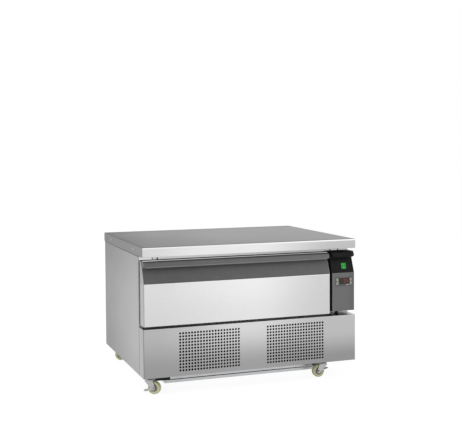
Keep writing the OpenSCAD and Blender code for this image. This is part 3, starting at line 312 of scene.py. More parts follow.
def finish_node(material, *nodes):
    """Gives CAD nodes that stay as they are their material."""
    for node in nodes:
        NODES[node].data.materials.clear()
        NODES[node].data.materials.append(material)


# Materials


def put(tree, kind, sockets=None, **settings):
    """Adds a shader node. Settings are its properties, sockets its values or what is linked in."""
    made = tree.nodes.new("ShaderNode" + kind)
    for key, value in settings.items():
        setattr(made, key, value)
    for key, value in (sockets or {}).items():
        if isinstance(value, bpy.types.NodeSocket):
            tree.links.new(value, made.inputs[key])
        else:
            made.inputs[key].default_value = value
    return made


def use(tree, group, sockets):
    """Places a node group with its own values."""
    return put(tree, "Group", sockets, node_tree=group).outputs


def link(tree, sockets, **values):
    """Links each value to the socket of its name."""
    for key, value in values.items():
        tree.links.new(value, sockets[key.replace("_", " ")])


def math_of(tree, operation, a, b=0.5, c=0.5, clamp=False):
    return put(tree, "Math", {0: a, 1: b, 2: c}, operation=operation, use_clamp=clamp).outputs[0]


def mixed(tree, factor, a, b, way="MIX"):
    """Two colours mixed by a factor."""
    return put(tree, "Mix", {0: factor, 6: a, 7: b}, data_type="RGBA", blend_type=way).outputs[2]


def scaled(tree, colour, by):
    """A colour multiplied by a value."""
    grey = put(tree, "CombineColor", {0: by, 1: by, 2: by}).outputs[0]
    return mixed(tree, 1.0, colour, grey, "MULTIPLY")


def ramp(tree, value, start, end, kind="LINEAR"):
    """Nothing before start, one after end."""
    return put(tree, "MapRange", {0: value, 1: start, 2: end, 3: 0.0, 4: 1.0},
               interpolation_type=kind).outputs[0]


def object_place(tree):
    return put(tree, "TexCoord").outputs["Object"]


def noise(tree, scale, detail=2.0, place=None, **more):
    """Noise at the object's own coordinates, or at the place given."""
    values = {"Vector": place or object_place(tree), "Scale": scale, "Detail": detail, **more}
    return put(tree, "TexNoise", values).outputs[0]


def new_group(name, defaults, *outputs):
    """A node group with named sockets: a default of four numbers is a colour, of three a vector."""
    tree = bpy.data.node_groups.new(name, "ShaderNodeTree")
    for label, value in defaults.items():
        kind = "NodeSocket" + {4: "Color", 3: "Vector"}.get(np.size(value), "Float")
        tree.interface.new_socket(name=label, in_out="INPUT", socket_type=kind).default_value = value
    for label in outputs:
        kind = "NodeSocketColor" if label == "Color" else "NodeSocketFloat"
        tree.interface.new_socket(name=label, in_out="OUTPUT", socket_type=kind)
    return tree, tree.nodes.new("NodeGroupInput").outputs, tree.nodes.new("NodeGroupOutput").inputs


def make_grain():
    """Brushed grain: fine noise stretched by a vector, with wide patches of handling over it.
    The colour is scaled by 1 + streaks * (noise - 0.5) + patches * (patch noise - 0.5)."""
    tree, given, out = new_group("brushed_grain", {
        "Color": (0.6, 0.6, 0.6, 1), "Stretch": (20, 900, 900), "Streaks": 0.08, "Patches": 0.1,
        "Patch Scale": 4.0, "Roughness": 0.3}, "Color", "Roughness", "Height")
    stretched = put(tree, "VectorMath", {0: object_place(tree), 1: given["Stretch"]},
                    operation="MULTIPLY").outputs[0]
    streak = noise(tree, 1.0, 5.0, stretched, Roughness=0.65)
    patch = noise(tree, given["Patch Scale"], 3.0, Roughness=0.55, Distortion=0.6)
    streak_off = math_of(tree, "SUBTRACT", streak, 0.5)
    patch_off = math_of(tree, "SUBTRACT", patch, 0.5)
    scale = math_of(tree, "MULTIPLY_ADD", streak_off, given["Streaks"], 1.0)
    scale = math_of(tree, "MULTIPLY_ADD", patch_off, given["Patches"], scale)
    rough = math_of(tree, "MULTIPLY_ADD", streak_off, 0.25, given["Roughness"])
    rough = math_of(tree, "MULTIPLY_ADD", patch_off, 0.18, rough, clamp=True)
    link(tree, out, Color=scaled(tree, given["Color"], scale), Roughness=rough, Height=streak)
    return tree


def make_shade():
    """Painted light and shade: a tone that changes with height or across, where a smooth step of a
    direction's coordinate between two places carries one colour into another."""
    tree, given, out = new_group("tone_along", {
        "From Color": (0.5, 0.5, 0.5, 1), "To Color": (0.6, 0.6, 0.6, 1), "Direction": (0, 0, 1),
        "From": 0.0, "To": 1.0}, "Color")
    along = put(tree, "VectorMath", {0: object_place(tree), 1: given["Direction"]},
                operation="DOT_PRODUCT").outputs["Value"]
    mask = ramp(tree, along, given["From"], given["To"], "SMOOTHSTEP")
    link(tree, out, Color=mixed(tree, mask, given["From Color"], given["To Color"]))
    return tree


def make_dust():
    """Dust and handling marks: a pale film where noise is high, more of it on faces that look up."""
    tree, given, out = new_group("settled_dust", {
        "Color": (0.1, 0.1, 0.1, 1), "Dust": (0.4, 0.38, 0.35, 1), "Amount": 0.2, "Scale": 30.0,
        "Roughness": 0.4}, "Color", "Roughness")
    up = put(tree, "SeparateXYZ", {0: put(tree, "NewGeometry").outputs["Normal"]}).outputs[2]
    up = math_of(tree, "MULTIPLY_ADD", up, 0.5, 0.5, clamp=True)
    patch = ramp(tree, noise(tree, given["Scale"], 6.0, Roughness=0.65), 0.4, 0.75)
    film = math_of(tree, "MULTIPLY", math_of(tree, "MULTIPLY_ADD", up, 0.7, 0.3), patch)
    film = math_of(tree, "MULTIPLY", film, given["Amount"], clamp=True)
    link(tree, out, Color=mixed(tree, film, given["Color"], given["Dust"]),
         Roughness=math_of(tree, "MULTIPLY_ADD", film, 0.4, given["Roughness"], clamp=True))
    return tree


def make_edge_wear_and_highlight():
    """Lighter edges, partly wear and partly a painted highlight: where the surface is most convex, the colour
    goes towards a lighter one.
    """
    tree, given, out = new_group("edge_wear_and_painted_highlight", {
        "Color": (0.1, 0.1, 0.1, 1), "Wear And Highlight": (0.5, 0.5, 0.5, 1), "Amount": 0.5}, "Color")
    edge = ramp(tree, put(tree, "NewGeometry").outputs["Pointiness"], 0.52, 0.60)
    mask = math_of(tree, "MULTIPLY", edge, noise(tree, 60.0, 5.0))
    mask = math_of(tree, "MULTIPLY", mask, given["Amount"], clamp=True)
    link(tree, out, Color=mixed(tree, mask, given["Color"], given["Wear And Highlight"]))
    return tree


def make_mould():
    """Moulded plastic: a fine even grain in the height, and a faint mottling of the colour."""
    tree, given, out = new_group("moulded_grain", {
        "Color": (0.1, 0.1, 0.1, 1), "Mottle": 0.15, "Scale": 900.0, "Roughness": 0.45},
        "Color", "Roughness", "Height")
    off = math_of(tree, "SUBTRACT", noise(tree, 14.0, 4.0), 0.5)
    scale = math_of(tree, "MULTIPLY_ADD", off, given["Mottle"], 1.0)
    link(tree, out, Color=scaled(tree, given["Color"], scale), Height=noise(tree, given["Scale"]),
         Roughness=math_of(tree, "MULTIPLY_ADD", off, 0.2, given["Roughness"], clamp=True))
    return tree


GRAIN, SHADE, DUST, EDGE_WEAR_AND_HIGHLIGHT, MOULD = make_grain(), make_shade(), make_dust(), make_edge_wear_and_highlight(), make_mould()


def rgb(*c):
    return (c[0], c[0], c[0], 1) if len(c) == 1 else (*c, 1)


def shader(name, **constant):
    """A material with one Principled shader, whose constant values are set on its own sockets."""
    made = bpy.data.materials.new(name)
    made.use_nodes = True
    inputs = made.node_tree.nodes["Principled BSDF"].inputs
    for key, value in constant.items():
        inputs[key.replace("_", " ")].default_value = value
    return made, made.node_tree, inputs


def toned(tree, tone):
    """A colour from a tone: a grey, a colour, a list of tones that are multiplied together, or
    (direction, from, to, tone before, tone after), a smooth step between two tones."""
    if isinstance(tone, float):
        return rgb(tone)
    if isinstance(tone, list):
        colour = toned(tree, tone[0])
        for factor in tone[1:]:
            colour = mixed(tree, 1.0, colour, toned(tree, factor), "MULTIPLY")
        return colour
    if len(tone) == 3:
        return rgb(*tone)
    direction, start, end, before, after = tone
    return use(tree, SHADE, {"From Color": toned(tree, before), "To Color": toned(tree, after),
                             "Direction": direction, "From": start, "To": end})["Color"]


def dressed(made, tree, inputs, grain, depth, dust, edge_wear_and_highlight=0.0, edge_wear_and_highlight_to=0.2):
    """Links a grain to its shader, with lighter edges of wear and painted highlight, and dust over it, where
    they are asked for.
    """
    colour, rough = grain["Color"], grain["Roughness"]
    if edge_wear_and_highlight:
        colour = use(tree, EDGE_WEAR_AND_HIGHLIGHT, {"Color": colour, "Wear And Highlight": rgb(edge_wear_and_highlight_to), "Amount": edge_wear_and_highlight})["Color"]
    if dust:
        film = use(tree, DUST, {"Color": colour, "Amount": dust, "Roughness": rough})
        colour, rough = film["Color"], film["Roughness"]
    bump = put(tree, "Bump", {"Height": grain["Height"], "Distance": depth, "Strength": 1.0}).outputs[0]
    link(tree, inputs, Base_Color=colour, Roughness=rough, Normal=bump)
    return made


def steel(name, tone, roughness=0.3, stretch=(14, 700, 700), streaks=0.1, patches=0.08,
          patch_scale=4.0, edge=1.0, depth=2e-6, dust=0.0):
    """Brushed sheet steel."""
    made, tree, inputs = shader(name, Metallic=1.0, Specular_Tint=rgb(edge))
    grain = use(tree, GRAIN, {"Color": toned(tree, tone), "Stretch": stretch, "Streaks": streaks,
                              "Patches": patches, "Patch Scale": patch_scale, "Roughness": roughness})
    return dressed(made, tree, inputs, grain, depth, dust)


def plastic(name, tone, roughness=0.42, mottle=0.2, scale=900.0, depth=6e-6, coat=0.0, edge_wear_and_highlight=0.0,
            edge_wear_and_highlight_to=0.2, dust=0.0, gloss=0.5):
    """Moulded plastic, rubber or paint with its grain, dust, and lighter edges of wear and painted highlight.
    """
    made, tree, inputs = shader(name, Coat_Weight=coat, Coat_Roughness=0.12, Specular_IOR_Level=gloss)
    grain = use(tree, MOULD, {"Color": toned(tree, tone), "Mottle": mottle, "Scale": scale,
                              "Roughness": roughness})
    return dressed(made, tree, inputs, grain, depth, dust, edge_wear_and_highlight, edge_wear_and_highlight_to)


UP, ACROSS, DEEP = (0, 0, 1), (1, 0, 0), (0, 1, 0)
SLANTWISE = (0.968, -0.252, 0)

# Painted light on the worktop: on its flat top a painted reflection, darker at the rear left, and painted
# shade along its edges; then its skirts
top_flat = [(SLANTWISE, -0.27, 0.0, (SLANTWISE, -0.58, -0.27, 0.082, 0.338), 0.425),
            (DEEP, -0.346, -0.330, 0.30, 1.0), (ACROSS, -0.448, -0.435, 0.6, 1.0),
            (DEEP, 0.270, 0.348, 1.0, 0.80)]
# The front skirt: a painted reflection, lightest left of the middle, and a painted highlight along its upper
# edge
front_skirt = (UP, 0.566, 0.571, (ACROSS, 0.0, 0.38, (ACROSS, -0.45, -0.2, 0.69, 0.82), 0.535), 0.90)
# The side skirts: painted shade, darker towards the back
side_skirt = (DEEP, -0.35, 0.35, 0.395, 0.352)
worktop_tone = (DEEP, -0.3497, -0.3489, front_skirt,
                (ACROSS, -0.4497, -0.4489, side_skirt, (ACROSS, 0.4489, 0.4497, top_flat, side_skirt)))
# Painted light on the drawer's face and the lower panel: a painted reflection, brightest left of the middle
# and darker below, a painted highlight along the face's top edge, and painted shade on the return round the
# left edge and on the drawer's rear edge
rear_edge = (DEEP, -0.2940, -0.2930, 1.0, 0.05)
face_low = (ACROSS, -0.02, 0.32, (ACROSS, -0.44, -0.02, 0.665, 0.76), 0.604)
face_high = (ACROSS, -0.02, 0.32, (ACROSS, -0.44, -0.02, 0.716, 0.856), 0.624)
face_flat = (UP, 0.4312, 0.4326, (UP, 0.285, 0.430, face_low, face_high), 0.90)
face_tone = [(ACROSS, -0.4436, -0.4426, (ACROSS, -0.4450, -0.4440, 0.42, 0.22), face_flat), rear_edge]
panel_low = (ACROSS, -0.02, 0.33, (ACROSS, -0.42, -0.02, 0.328, 0.347), 0.292)
panel_high = (ACROSS, -0.02, 0.33, (ACROSS, -0.42, -0.02, 0.467, 0.679), 0.503)
panel_return = (DEEP, -0.2875, -0.2855, 0.42, 0.15)
panel_front = (UP, 0.090, 0.250, panel_low, panel_high)
# The walls of its holes are in the shade: behind the front face, between the folds round its edge
hole_walls = (DEEP, -0.34947, -0.34937, 1.0, 0.02)
hole_walls = (UP, 0.2430, 0.2435, (UP, 0.0890, 0.0895, 1.0, hole_walls), 1.0)
hole_walls = (ACROSS, -0.4450, -0.4440, 1.0, (ACROSS, 0.4440, 0.4450, hole_walls, 1.0))
# A painted highlight: a lighter band across the panel's right part, about 0.15 to 0.18 m up
panel_painted_highlight = (UP, 0.175, 0.235, (UP, 0.095, 0.150, 1.0, 1.14), 1.0)
# The panel's tone, with painted shade in a thin line along its left bend
panel_tone = [(ACROSS, -0.4470, -0.4458, panel_return, panel_front), hole_walls,
              (ACROSS, 0.15, 0.33, 1.0, panel_painted_highlight),
              (ACROSS, -0.4463, -0.4456, (ACROSS, -0.4479, -0.4475, 1.0, 0.35), 1.0)]
# The side sheets, in painted light and shade: lighter to the front, darker to the top and foot, a painted
# shadow just under the skirt, and painted shade at the rear seam and along the drawer's rear edge
side_tone = [(DEEP, -0.28, 0.33, 0.40, 0.235), (UP, 0.38, 0.53, 1.0, (DEEP, 0.0, 0.33, 0.85, 0.77)),
             (UP, 0.08, 0.20, (DEEP, -0.28, -0.05, 0.85, 0.92), 1.0),
             (UP, 0.5315, 0.5330, 1.0, 0.15), (DEEP, 0.328, 0.333, 1.0, 0.7),
             (DEEP, -0.2940, -0.2930, 1.0, (DEEP, -0.2840, -0.2830, 0.05, 1.0))]
# The pull, in painted light and shade: painted shade in the recess below, a painted highlight round the lip's
# lower edge, the lip, both lighter to the right, and painted shade on its top
pull_tone = (UP, 0.4985, 0.5000, (UP, 0.4940, 0.4950, (ACROSS, -0.44, 0.10, 0.080, 0.106), 0.30),
             (UP, 0.5145, 0.5165, (ACROSS, -0.44, 0.10, 0.110, 0.141), 0.045))
# The polished rail and flange: lighter at their left end, then a painted reflection that fades to the right
bright_tone = (ACROSS, -0.386, -0.384, 0.70, (ACROSS, -0.2, 0.3, 0.55, 0.40))

top_steel = steel("worktop_steel", worktop_tone, 0.32, (10, 600, 600), 0.1, 0.12, 2.2, edge=0.55)
side_steel = steel("side_steel", side_tone, 0.36, (600, 600, 10), 0.08, 0.06, 2.5)
back_steel = steel("back_steel", (0.50, 0.505, 0.51), 0.38, (600, 600, 10), 0.08)
face_steel = steel("drawer_steel", face_tone, 0.30, (10, 700, 700), 0.06, 0.10, 3.0)
panel_steel = steel("lower_panel_steel", panel_tone, 0.34, (10, 700, 700), 0.06, 0.06)
frame_steel = steel("frame_steel", 0.55, 0.36, (14, 600, 600))
bright_steel = steel("bright_steel", bright_tone, 0.12, (14, 600, 600), 0.06, depth=5e-7)
inner_steel = steel("inner_steel", (0.58, 0.585, 0.59), 0.34, (14, 500, 500), patches=0.05)
rivet_steel = steel("rivet_steel", 0.55, 0.34, (260, 260, 260))
stud_steel = steel("stud_steel", 0.05, 0.45, (260, 260, 260), dust=0.1)
base_steel = steel("galvanized_steel", (0.55, 0.56, 0.57), 0.42, (90, 90, 90), 0.25, 0.1, dust=0.2)
zinc = steel("zinc_plate", (0.44, 0.44, 0.445), 0.33, (260, 260, 260), 0.2, 0.2, 30.0, dust=0.12)
black_plastic = plastic("black_plastic", (0.007, 0.007, 0.008), 0.45, edge_wear_and_highlight=0.2, edge_wear_and_highlight_to=0.05,
                        dust=0.02, gloss=0.12)
# The pull's lighter edges: partly wear, partly a painted highlight on the lip's edges
pull_plastic = plastic("pull_plastic", pull_tone, 0.45, edge_wear_and_highlight=0.2, edge_wear_and_highlight_to=0.28, dust=0.08)
# The grey fascia darkens towards its rounded right edge: painted shade
fascia_grey = plastic("fascia_grey", (ACROSS, 0.408, 0.436, 0.168, 0.142), 0.5, 0.1, 1400.0)
bezel_grey = plastic("bezel_grey", (0.12, 0.12, 0.122), 0.45)
# Dark rubber of the gaskets, and painted shade on the seal and strip over the drawer
gasket_rubber_and_painted_shade = plastic("gasket_rubber_and_painted_shade", 0.03, 0.6, dust=0.15)
key_plastic = plastic("key_plastic", (0.40, 0.40, 0.36), 0.45, scale=1500.0)
rocker_green = plastic("rocker_green", (0.008, 0.35, 0.027), 0.3, 0.1, depth=2e-6, coat=0.12, gloss=0.3)
wheel_cream = plastic("wheel_nylon", (0.74, 0.74, 0.46), 0.36, 0.3, coat=0.1, dust=0.08)
tread_olive = plastic("wheel_tread", (0.66, 0.66, 0.37), 0.5, 0.3, dust=0.08)
# The black of the filters behind the holes: painted shade, the dark inside of the unit
painted_shade_filter_mat = plastic("painted_shade_filter_mat", 0.006, 0.9, 0.6, 1200.0, 4e-5, gloss=0.03)
# Black that stands for the shade under the cabinet: painted shade
painted_shade_black = plastic("painted_shade_black", 0.012, 0.55, dust=0.1, gloss=0.2)
wheel_disc = steel("wheel_disc", (0.16, 0.16, 0.165), 0.4, (200, 200, 200), patches=0.3)
enamel = plastic("black_enamel", 0.02, 0.3, coat=0.5, dust=0.3)
motor_plastic = plastic("motor_plastic", (0.06, 0.06, 0.065), 0.5, dust=0.2)
fan_plastic = plastic("fan_plastic", (0.45, 0.46, 0.47), 0.42)
drain_plastic = plastic("drain_plastic", (0.68, 0.68, 0.65), 0.4)
fins = steel("fin_aluminium", (0.62, 0.63, 0.65), 0.4, (300, 300, 300), 0.15, dust=0.2)
# The condenser's fins are black coated, and their black is also painted shade, the dark inside seen through
# the holes
coated_fins_and_painted_shade = plastic("coated_fins_and_painted_shade", (0.015, 0.015, 0.016), 0.6, dust=0.15, gloss=0.2)
copper = steel("bare_copper", (0.62, 0.30, 0.17), 0.35, (200, 200, 200), 0.2, 0.3, 20.0)
board = plastic("raw_board", (0.50, 0.38, 0.24), 0.7, 0.5, 300.0, 5e-5)
foam = plastic("insulation_foam", (0.78, 0.72, 0.50), 0.8, 0.3, 500.0, 8e-5)
# A dark patch that stands for the shade in the forks' axle slots: painted shade
painted_slot_shade = plastic("painted_recess_shade", 0.012, 0.7)
mark_white = plastic("pale_mark", (0.75, 0.80, 0.75), 0.4, scale=1500.0)
pale_bar = plastic("pale_label", (0.62, 0.62, 0.57), 0.5)
window_gloss = plastic("window_gloss", (0.026, 0.023, 0.013), 0.15, 0.3, depth=1e-7, coat=0.3, gloss=0.25)
unlit_bars = plastic("unlit_bars", (0.050, 0.047, 0.030), 0.4, scale=1500.0, gloss=0.25)


# Dim red light whose colour varies a little over each bar
lit_red, red_tree, red_inputs = shader("lit_digits", Base_Color=rgb(0.2, 0.01, 0.005), Roughness=0.3,
                                       Emission_Strength=0.38)
link(red_tree, red_inputs, Emission_Color=mixed(
    red_tree, noise(red_tree, 900.0), rgb(0.75, 0.06, 0.02), rgb(1.0, 0.12, 0.04)))

# Worktop and cabinet sheets


def worktop():
    """Rounded rectangles that grow over the top edge's round, run down the skirt, turn under its
    hem and run back up inside."""
    line = [(s, WORK_Z - drop) for s, drop in edge_round(2.6, 7)]
    line += [(0, UNDER_Z + 0.6), (0.25, UNDER_Z + 0.1), (0.6, UNDER_Z), (0.95, UNDER_Z + 0.1),
             (SHEET, UNDER_Z + 0.6), (SHEET, WORK_Z - 2.2), (2.2, WORK_Z - SHEET)]
    skin = stepped("z", (-TOP_X, TOP_X, -TOP_Y, TOP_Y), line, 3.2, 6, least=0.4)
    piece("worktop_steel_top", [skin], top_steel, ["worktop_skin"])
    # A hem under the front overhang, which also hides the board's edge
    hem = folded([(-TOP_Y + 1.4, UNDER_Z - 0.2), (-TOP_Y + 22, UNDER_Z - 0.2)], -0.8, 0.5)
    piece("worktop_front_hem", [prism("x", hem, -TOP_X + 3, TOP_X - 3)], frame_steel,
          bevel=0.2)
    finish_node(board, "worktop_board")
    rivet_y, rivet_z, stud_x, stud_y, stud_z = 201.0, 555.5, 383.0, -320.0, 524.0
    head = [(0, 1.3), (1.6, 1.22), (2.8, 0.95), (3.7, 0.45), (4, 0), (0, 0)]
    stud = [(0, UNDER_Z), (2.5, UNDER_Z), (2.5, stud_z + 1.2), (1.8, stud_z), (0, stud_z)]
    rivets = [lathe([(r, side * h) for r, h in head], (side * TOP_X, y, rivet_z), "x", 24)
              for side in (-1, 1) for y in (-rivet_y, rivet_y)]
    studs = [lathe(stud, (x, stud_y, 0), "z", 20) for x in (-stud_x, stud_x)]
    piece("worktop_rivets_and_studs", rivets, rivet_steel, ["worktop_fixings"],
          also=[(stud_steel, studs)])


def side_panels():
    """A flat sheet with a folded top, and a corner post's face behind its seam."""
    y0, y1, top_z = FACE_Y + 0.7, 333.0, UNDER_Z - 0.2
    for side, word in ((-1, "left"), (1, "right")):
        x = side * SIDE_X
        sheet = prism("z", folded([(x, y0), (x, y1)], side * SHEET, 0.5), BASE_Z, top_z)
        z = UNDER_Z - SHEET
        fold = prism("y", folded([(x - side * 0.3, z), (x - side * 15.0, z)], side * -1.0, 0.3), y0 + 0.6, y1)
        inner, outer = x - side * 12.0, x - side * 0.5
        corner = fillet([(inner, BACK_Y - 0.2), (outer, BACK_Y - 0.2), (outer, y1 + 0.8), (inner, y1 + 0.8)],
                        [0, 2.0, 0, 0], 5, True)
        piece(word + "_side_sheet", [sheet, fold, prism("z", corner, BASE_Z, top_z)],
              side_steel, [word + "_side_panel"], bevel=0.3)


def back_sheet():
    """The back: a sheet on a grid of lines, with a row of upright slots, screws and the gland."""
    middle, count, pitch, half = -80.0, 20, 18.0, 3
    slots = middle + (np.arange(count) - (count - 1) / 2) * pitch
    us = np.unique(np.concatenate([[-IN_X + 12.6, IN_X - 12.6], slots - half, slots + half]))
    is_open = np.zeros((len(us) - 1, 3), bool)
    is_open[:, 1] = np.abs((us[1:] + us[:-1])[:, None] / 2 - slots).min(1) < 0.5
    sheet = sheet_with_windows("y", us, [BASE_Z, 121.5, 211.5, UNDER_Z - 0.4], is_open, IN_Y, BACK_Y - 0.3)
    piece("back_sheet", [sheet], back_steel, ["back_panel"], bevel=0.25)
    head = [(0, 1.6), (1.8, 1.536), (3.06, 1.12), (3.6, 0.48), (3.6, 0), (0, 0)]
    places = [(x, z) for x in (-415.0, -140.0, 140.0, 415.0) for z in (262.0, 520.0)]
    screws = [lathe(head, (x, BACK_Y - 0.3, z), "y", 16) for x, z in places + [(-415.0, 90.0), (415.0, 90.0)]]
    piece("back_screws", screws, zinc)
    rim = fillet([(4, -7), (4, 1.5), (10.5, 1.5), (13, 0.2), (13, 0), (10, 0), (10, -7)], 0.4, 3, True)
    gland_x, gland_z = 250.0, 132.0
    piece("cord_gland_ring", [lathe(rim, (gland_x, BACK_Y, gland_z), "y", 32, ring=True)],
          black_plastic, ["cord_gland"])


def front_frame():
    """The stainless face round the drawer's opening, with a dark breaker strip round the hole."""
    left, right, low, high = CAVITY
    is_open = np.zeros((3, 3), bool)
    is_open[1, 1] = True
    face = sheet_with_windows("y", [-IN_X, left, right, IN_X], [DECK_Z, low, high, UNDER_Z], is_open,
                              FACE_Y, FACE_Y + SHEET)
    piece("face_sheet", [face], frame_steel, ["face_frame"], bevel=0.2)
    turn = [(-0.4, 0.6), (-0.4, 5.0), (0.4, 5.0), (1.6, 3.0), (1.6, 0.6)]
    strip = stepped("y", CAVITY, [(s, FACE_Y + d - 0.5) for s, d in turn], 2.0, 4, ring=True)
    piece("breaker_strip", [strip], gasket_rubber_and_painted_shade, bevel=0.2)
    # A soft seal above the drawer closes the gap behind its top edge; its dark rubber is painted shadow, the
    # shadow line over the drawer
    seal = fillet([(-284.5, 513.5), (-280.4, 512.5), (-280.4, 519.7), (-284.5, 519.0)], 1.0, 3, True)
    piece("painted_shadow_seal", [prism("x", seal, -440.0, 330.0)], gasket_rubber_and_painted_shade)
    # A polished rail over the seal leans back a little, so that it catches the light from the front
    rail = [(-283.7, 520.6), (-282.2, 536.0), (-280.3, 536.0), (-280.3, 520.6)]
    piece("head_rail", [prism("x", rail, -446.0, 446.0)], bright_steel)


def perforated_panel():
    """The lower panel. Its flat front is a grid of lines along the cells' edges. A hole's cell has
    four faces of two corners and five circle points at front and back, a lip and a wall. The rim
    runs round the flat front on the same lines: out and back over the bend, then straight back,
    round the sheet's edge and forward again inside."""
    front, back, pitch, hole_r, lip = -349.5, -348.3, 12.0, 3.8, 0.5
    bend, r_in, half = 2.0, 0.8, pitch / 2
    left, right = [middle + (np.arange(21) - 10) * pitch for middle in (-183.0, 180.0)]
    rows = BASE_Z + 22.0 + np.arange(13) * pitch
    columns = np.concatenate([left, right])
    xs = np.concatenate([[-SIDE_X + bend], left - half, [left[-1] + half], right - half,
                         [right[-1] + half, SIDE_X - bend]])
    zs = np.concatenate([[BASE_Z + bend], rows - half, [rows[-1] + half, DECK_Z - bend]])
    near = [np.abs((lines[1:] + lines[:-1])[:, None] / 2 - middles).min(1) < 0.5
            for lines, middles in ((xs, columns), (zs, rows))]
    plain = sheet_with_windows("y", xs, zs, np.outer(*near), front, back, walls=False)
    # Holed cells: 4 corners and rings of 16 at the face, below the lip and at the back
    holes = np.stack(np.meshgrid(columns, rows, indexing="ij"), -1).reshape(-1, 2)
    ring = circle(0, 0, 1, 16)
    corner = half * np.array([[1, 1], [-1, 1], [-1, -1], [1, -1]])
    local = np.vstack([flat("y", outline, at) for outline, at in (
        (corner, front), (ring * (hole_r + lip), front), (ring * hole_r, front + lip),
        (ring * hole_r, back), (corner, back))])
    points = (flat("y", holes, 0.0)[:, None] + local).reshape(-1, 3)
    # Where each ring and the rear corners start in a cell's points
    outer, inner, rear, last = 4, 20, 36, 52
    pattern = []
    for q in range(4):
        arc, q2 = [(4 * q + 2 + s) % 16 for s in range(5)], (q + 1) % 4
        pattern += [[q] + [outer + s for s in arc] + [q2],
                    [last + q2] + [rear + s for s in arc[::-1]] + [last + q]]
    for s in range(16):
        n = (s + 1) % 16
        pattern += [[outer + s, inner + s, inner + n, outer + n], [inner + s, rear + s, rear + n, inner + n]]
    faces = []
    for face in pattern:
        faces += (np.array(face) + np.arange(len(holes))[:, None] * len(local)).tolist()
    # The rim
    side = lambda x, z: np.stack(np.broadcast_arrays(x, z), -1)
    path = np.vstack([side(xs[:-1], zs[0]), side(xs[-1], zs[:-1]), side(xs[:0:-1], zs[-1]),
                      side(xs[0], zs[:0:-1])])
    out = 1.0 * (path == path.max(0)) - (path == path.min(0))
    rim = [(bend - s, front + drop) for s, drop in edge_round(bend, 6)]
    rim += [(bend, FACE_Y - 0.3), (bend - 0.3, FACE_Y), (r_in + 0.3, FACE_Y), (r_in, FACE_Y - 0.3)]
    rim += [(r_in - s, back + drop) for s, drop in edge_round(r_in, 6)[::-2]] + [(0, back)]
    loops = np.stack([flat("y", path + out * s, y) for s, y in rim])
    piece("lower_perforated_panel", [plain, (points, faces), grid(loops)], panel_steel,
          ["front_grille_panel"], angle=40)
    ledge = box((-IN_X, FACE_Y - 8, DECK_Z - 2.2), (IN_X, -262.0, DECK_Z - 1.3))
    piece("lower_panel_ledge", [ledge], frame_steel, bevel=0.2)
    # A pleated dust filter lies against each block of holes: its folds step between two depths, and its black
    # is painted shade, the dark inside seen through the holes
    heights = np.arange(rows[0] - 8.0, rows[-1] + 8.1, 4.0)
    depths = np.where(np.arange(len(heights)) % 2, back + 2.0, back)
    pleats = np.vstack([np.c_[depths, heights], [(back + 3.5, heights[-1]), (back + 3.5, heights[0])]])
    mats = [prism("x", pleats, block[0] - 8.0, block[-1] + 8.0) for block in (left, right)]
    piece("grille_painted_shade_filters", mats, painted_shade_filter_mat, angle=10)


def under_parts():
    """The base plate, the cross channel, and the evaporation tray with its high back wall."""
    plate = box((-IN_X, FACE_Y + 0.5, BASE_Z + 0.4), (IN_X, IN_Y, FLOOR_Z))
    piece("base_sheet", [plate], base_steel, ["base_plate"], bevel=0.2)
    x0, x1, y0, y1, z = -337.0, 345.0, -238.0, -38.0, 34.0
    section = folded([(y0 + 30, z), (y0, z), (y0, BASE_Z), (y0 + 30, BASE_Z)], -SHEET, 2.2, 5)
    piece("cross_channel_sheet", [prism("x", section, -313.0, 302.0)], base_steel,
          ["cross_channel"], bevel=0.2)
    line = [(1.5, 20), (0.4, 20.4), (0, 21.5), (0, 31.6), (0.3, 32), (0.9, 32), (SHEET, 31.6),
            (SHEET, 22.5), (2.4, 21.2)]
    pan = stepped("z", (x0, x1, y0, y1), line, 5, 5, least=1)
    wall = folded([(y1, 28), (y1, BASE_Z), (y1 - 20, BASE_Z)], SHEET, 2.0, 4)
    piece("melt_water_tray", [pan, prism("x", wall, x0 + 6, x1 - 6)], base_steel,
          ["evaporation_tray"], bevel=0.15)
    # A black angle bracket carries the channel on at its left; its black is painted shade, the dark under the
    # cabinet there
    angle = folded([(-206.0, 32.0), (-236.8, 32.0), (-236.8, BASE_Z)], -2.0, 3.0, 4)
    piece("painted_shade_bracket", [prism("x", angle, -375.0, -313.5)], painted_shade_black, bevel=0.3)


# Drawer


def drawer_face():
    """Rounded rectangles carried back from the flat bright face, over its edge's round."""
    line = [(s, DRAW_F + drop) for s, drop in edge_round(2.2, 6)] + [(0, DRAW_B - SHEET)]
    skin = stepped("y", (DRAW_L, DRAW_R, DRAW_LOW, DRAW_FACE), line, 0.8, 4)
    piece("drawer_face_skin", [skin], face_steel, ["drawer_skin"], body=DRAWER)
    low, high, rear = DRAW_FACE + 0.4, DRAW_TOP - 0.2, DRAW_B - SHEET
    outline = fillet([(DRAW_F + 0.6, low), (-311.0, high), (rear, high), (rear, low)],
                     [0.5, 3.0, 0.5, 0.5], 4, True)
    plates = [prism("x", outline, x, x + SHEET) for x in (DRAW_L, DRAW_R - SHEET)]
    piece("drawer_end_plates", plates, side_steel, bevel=0.25, body=DRAWER)


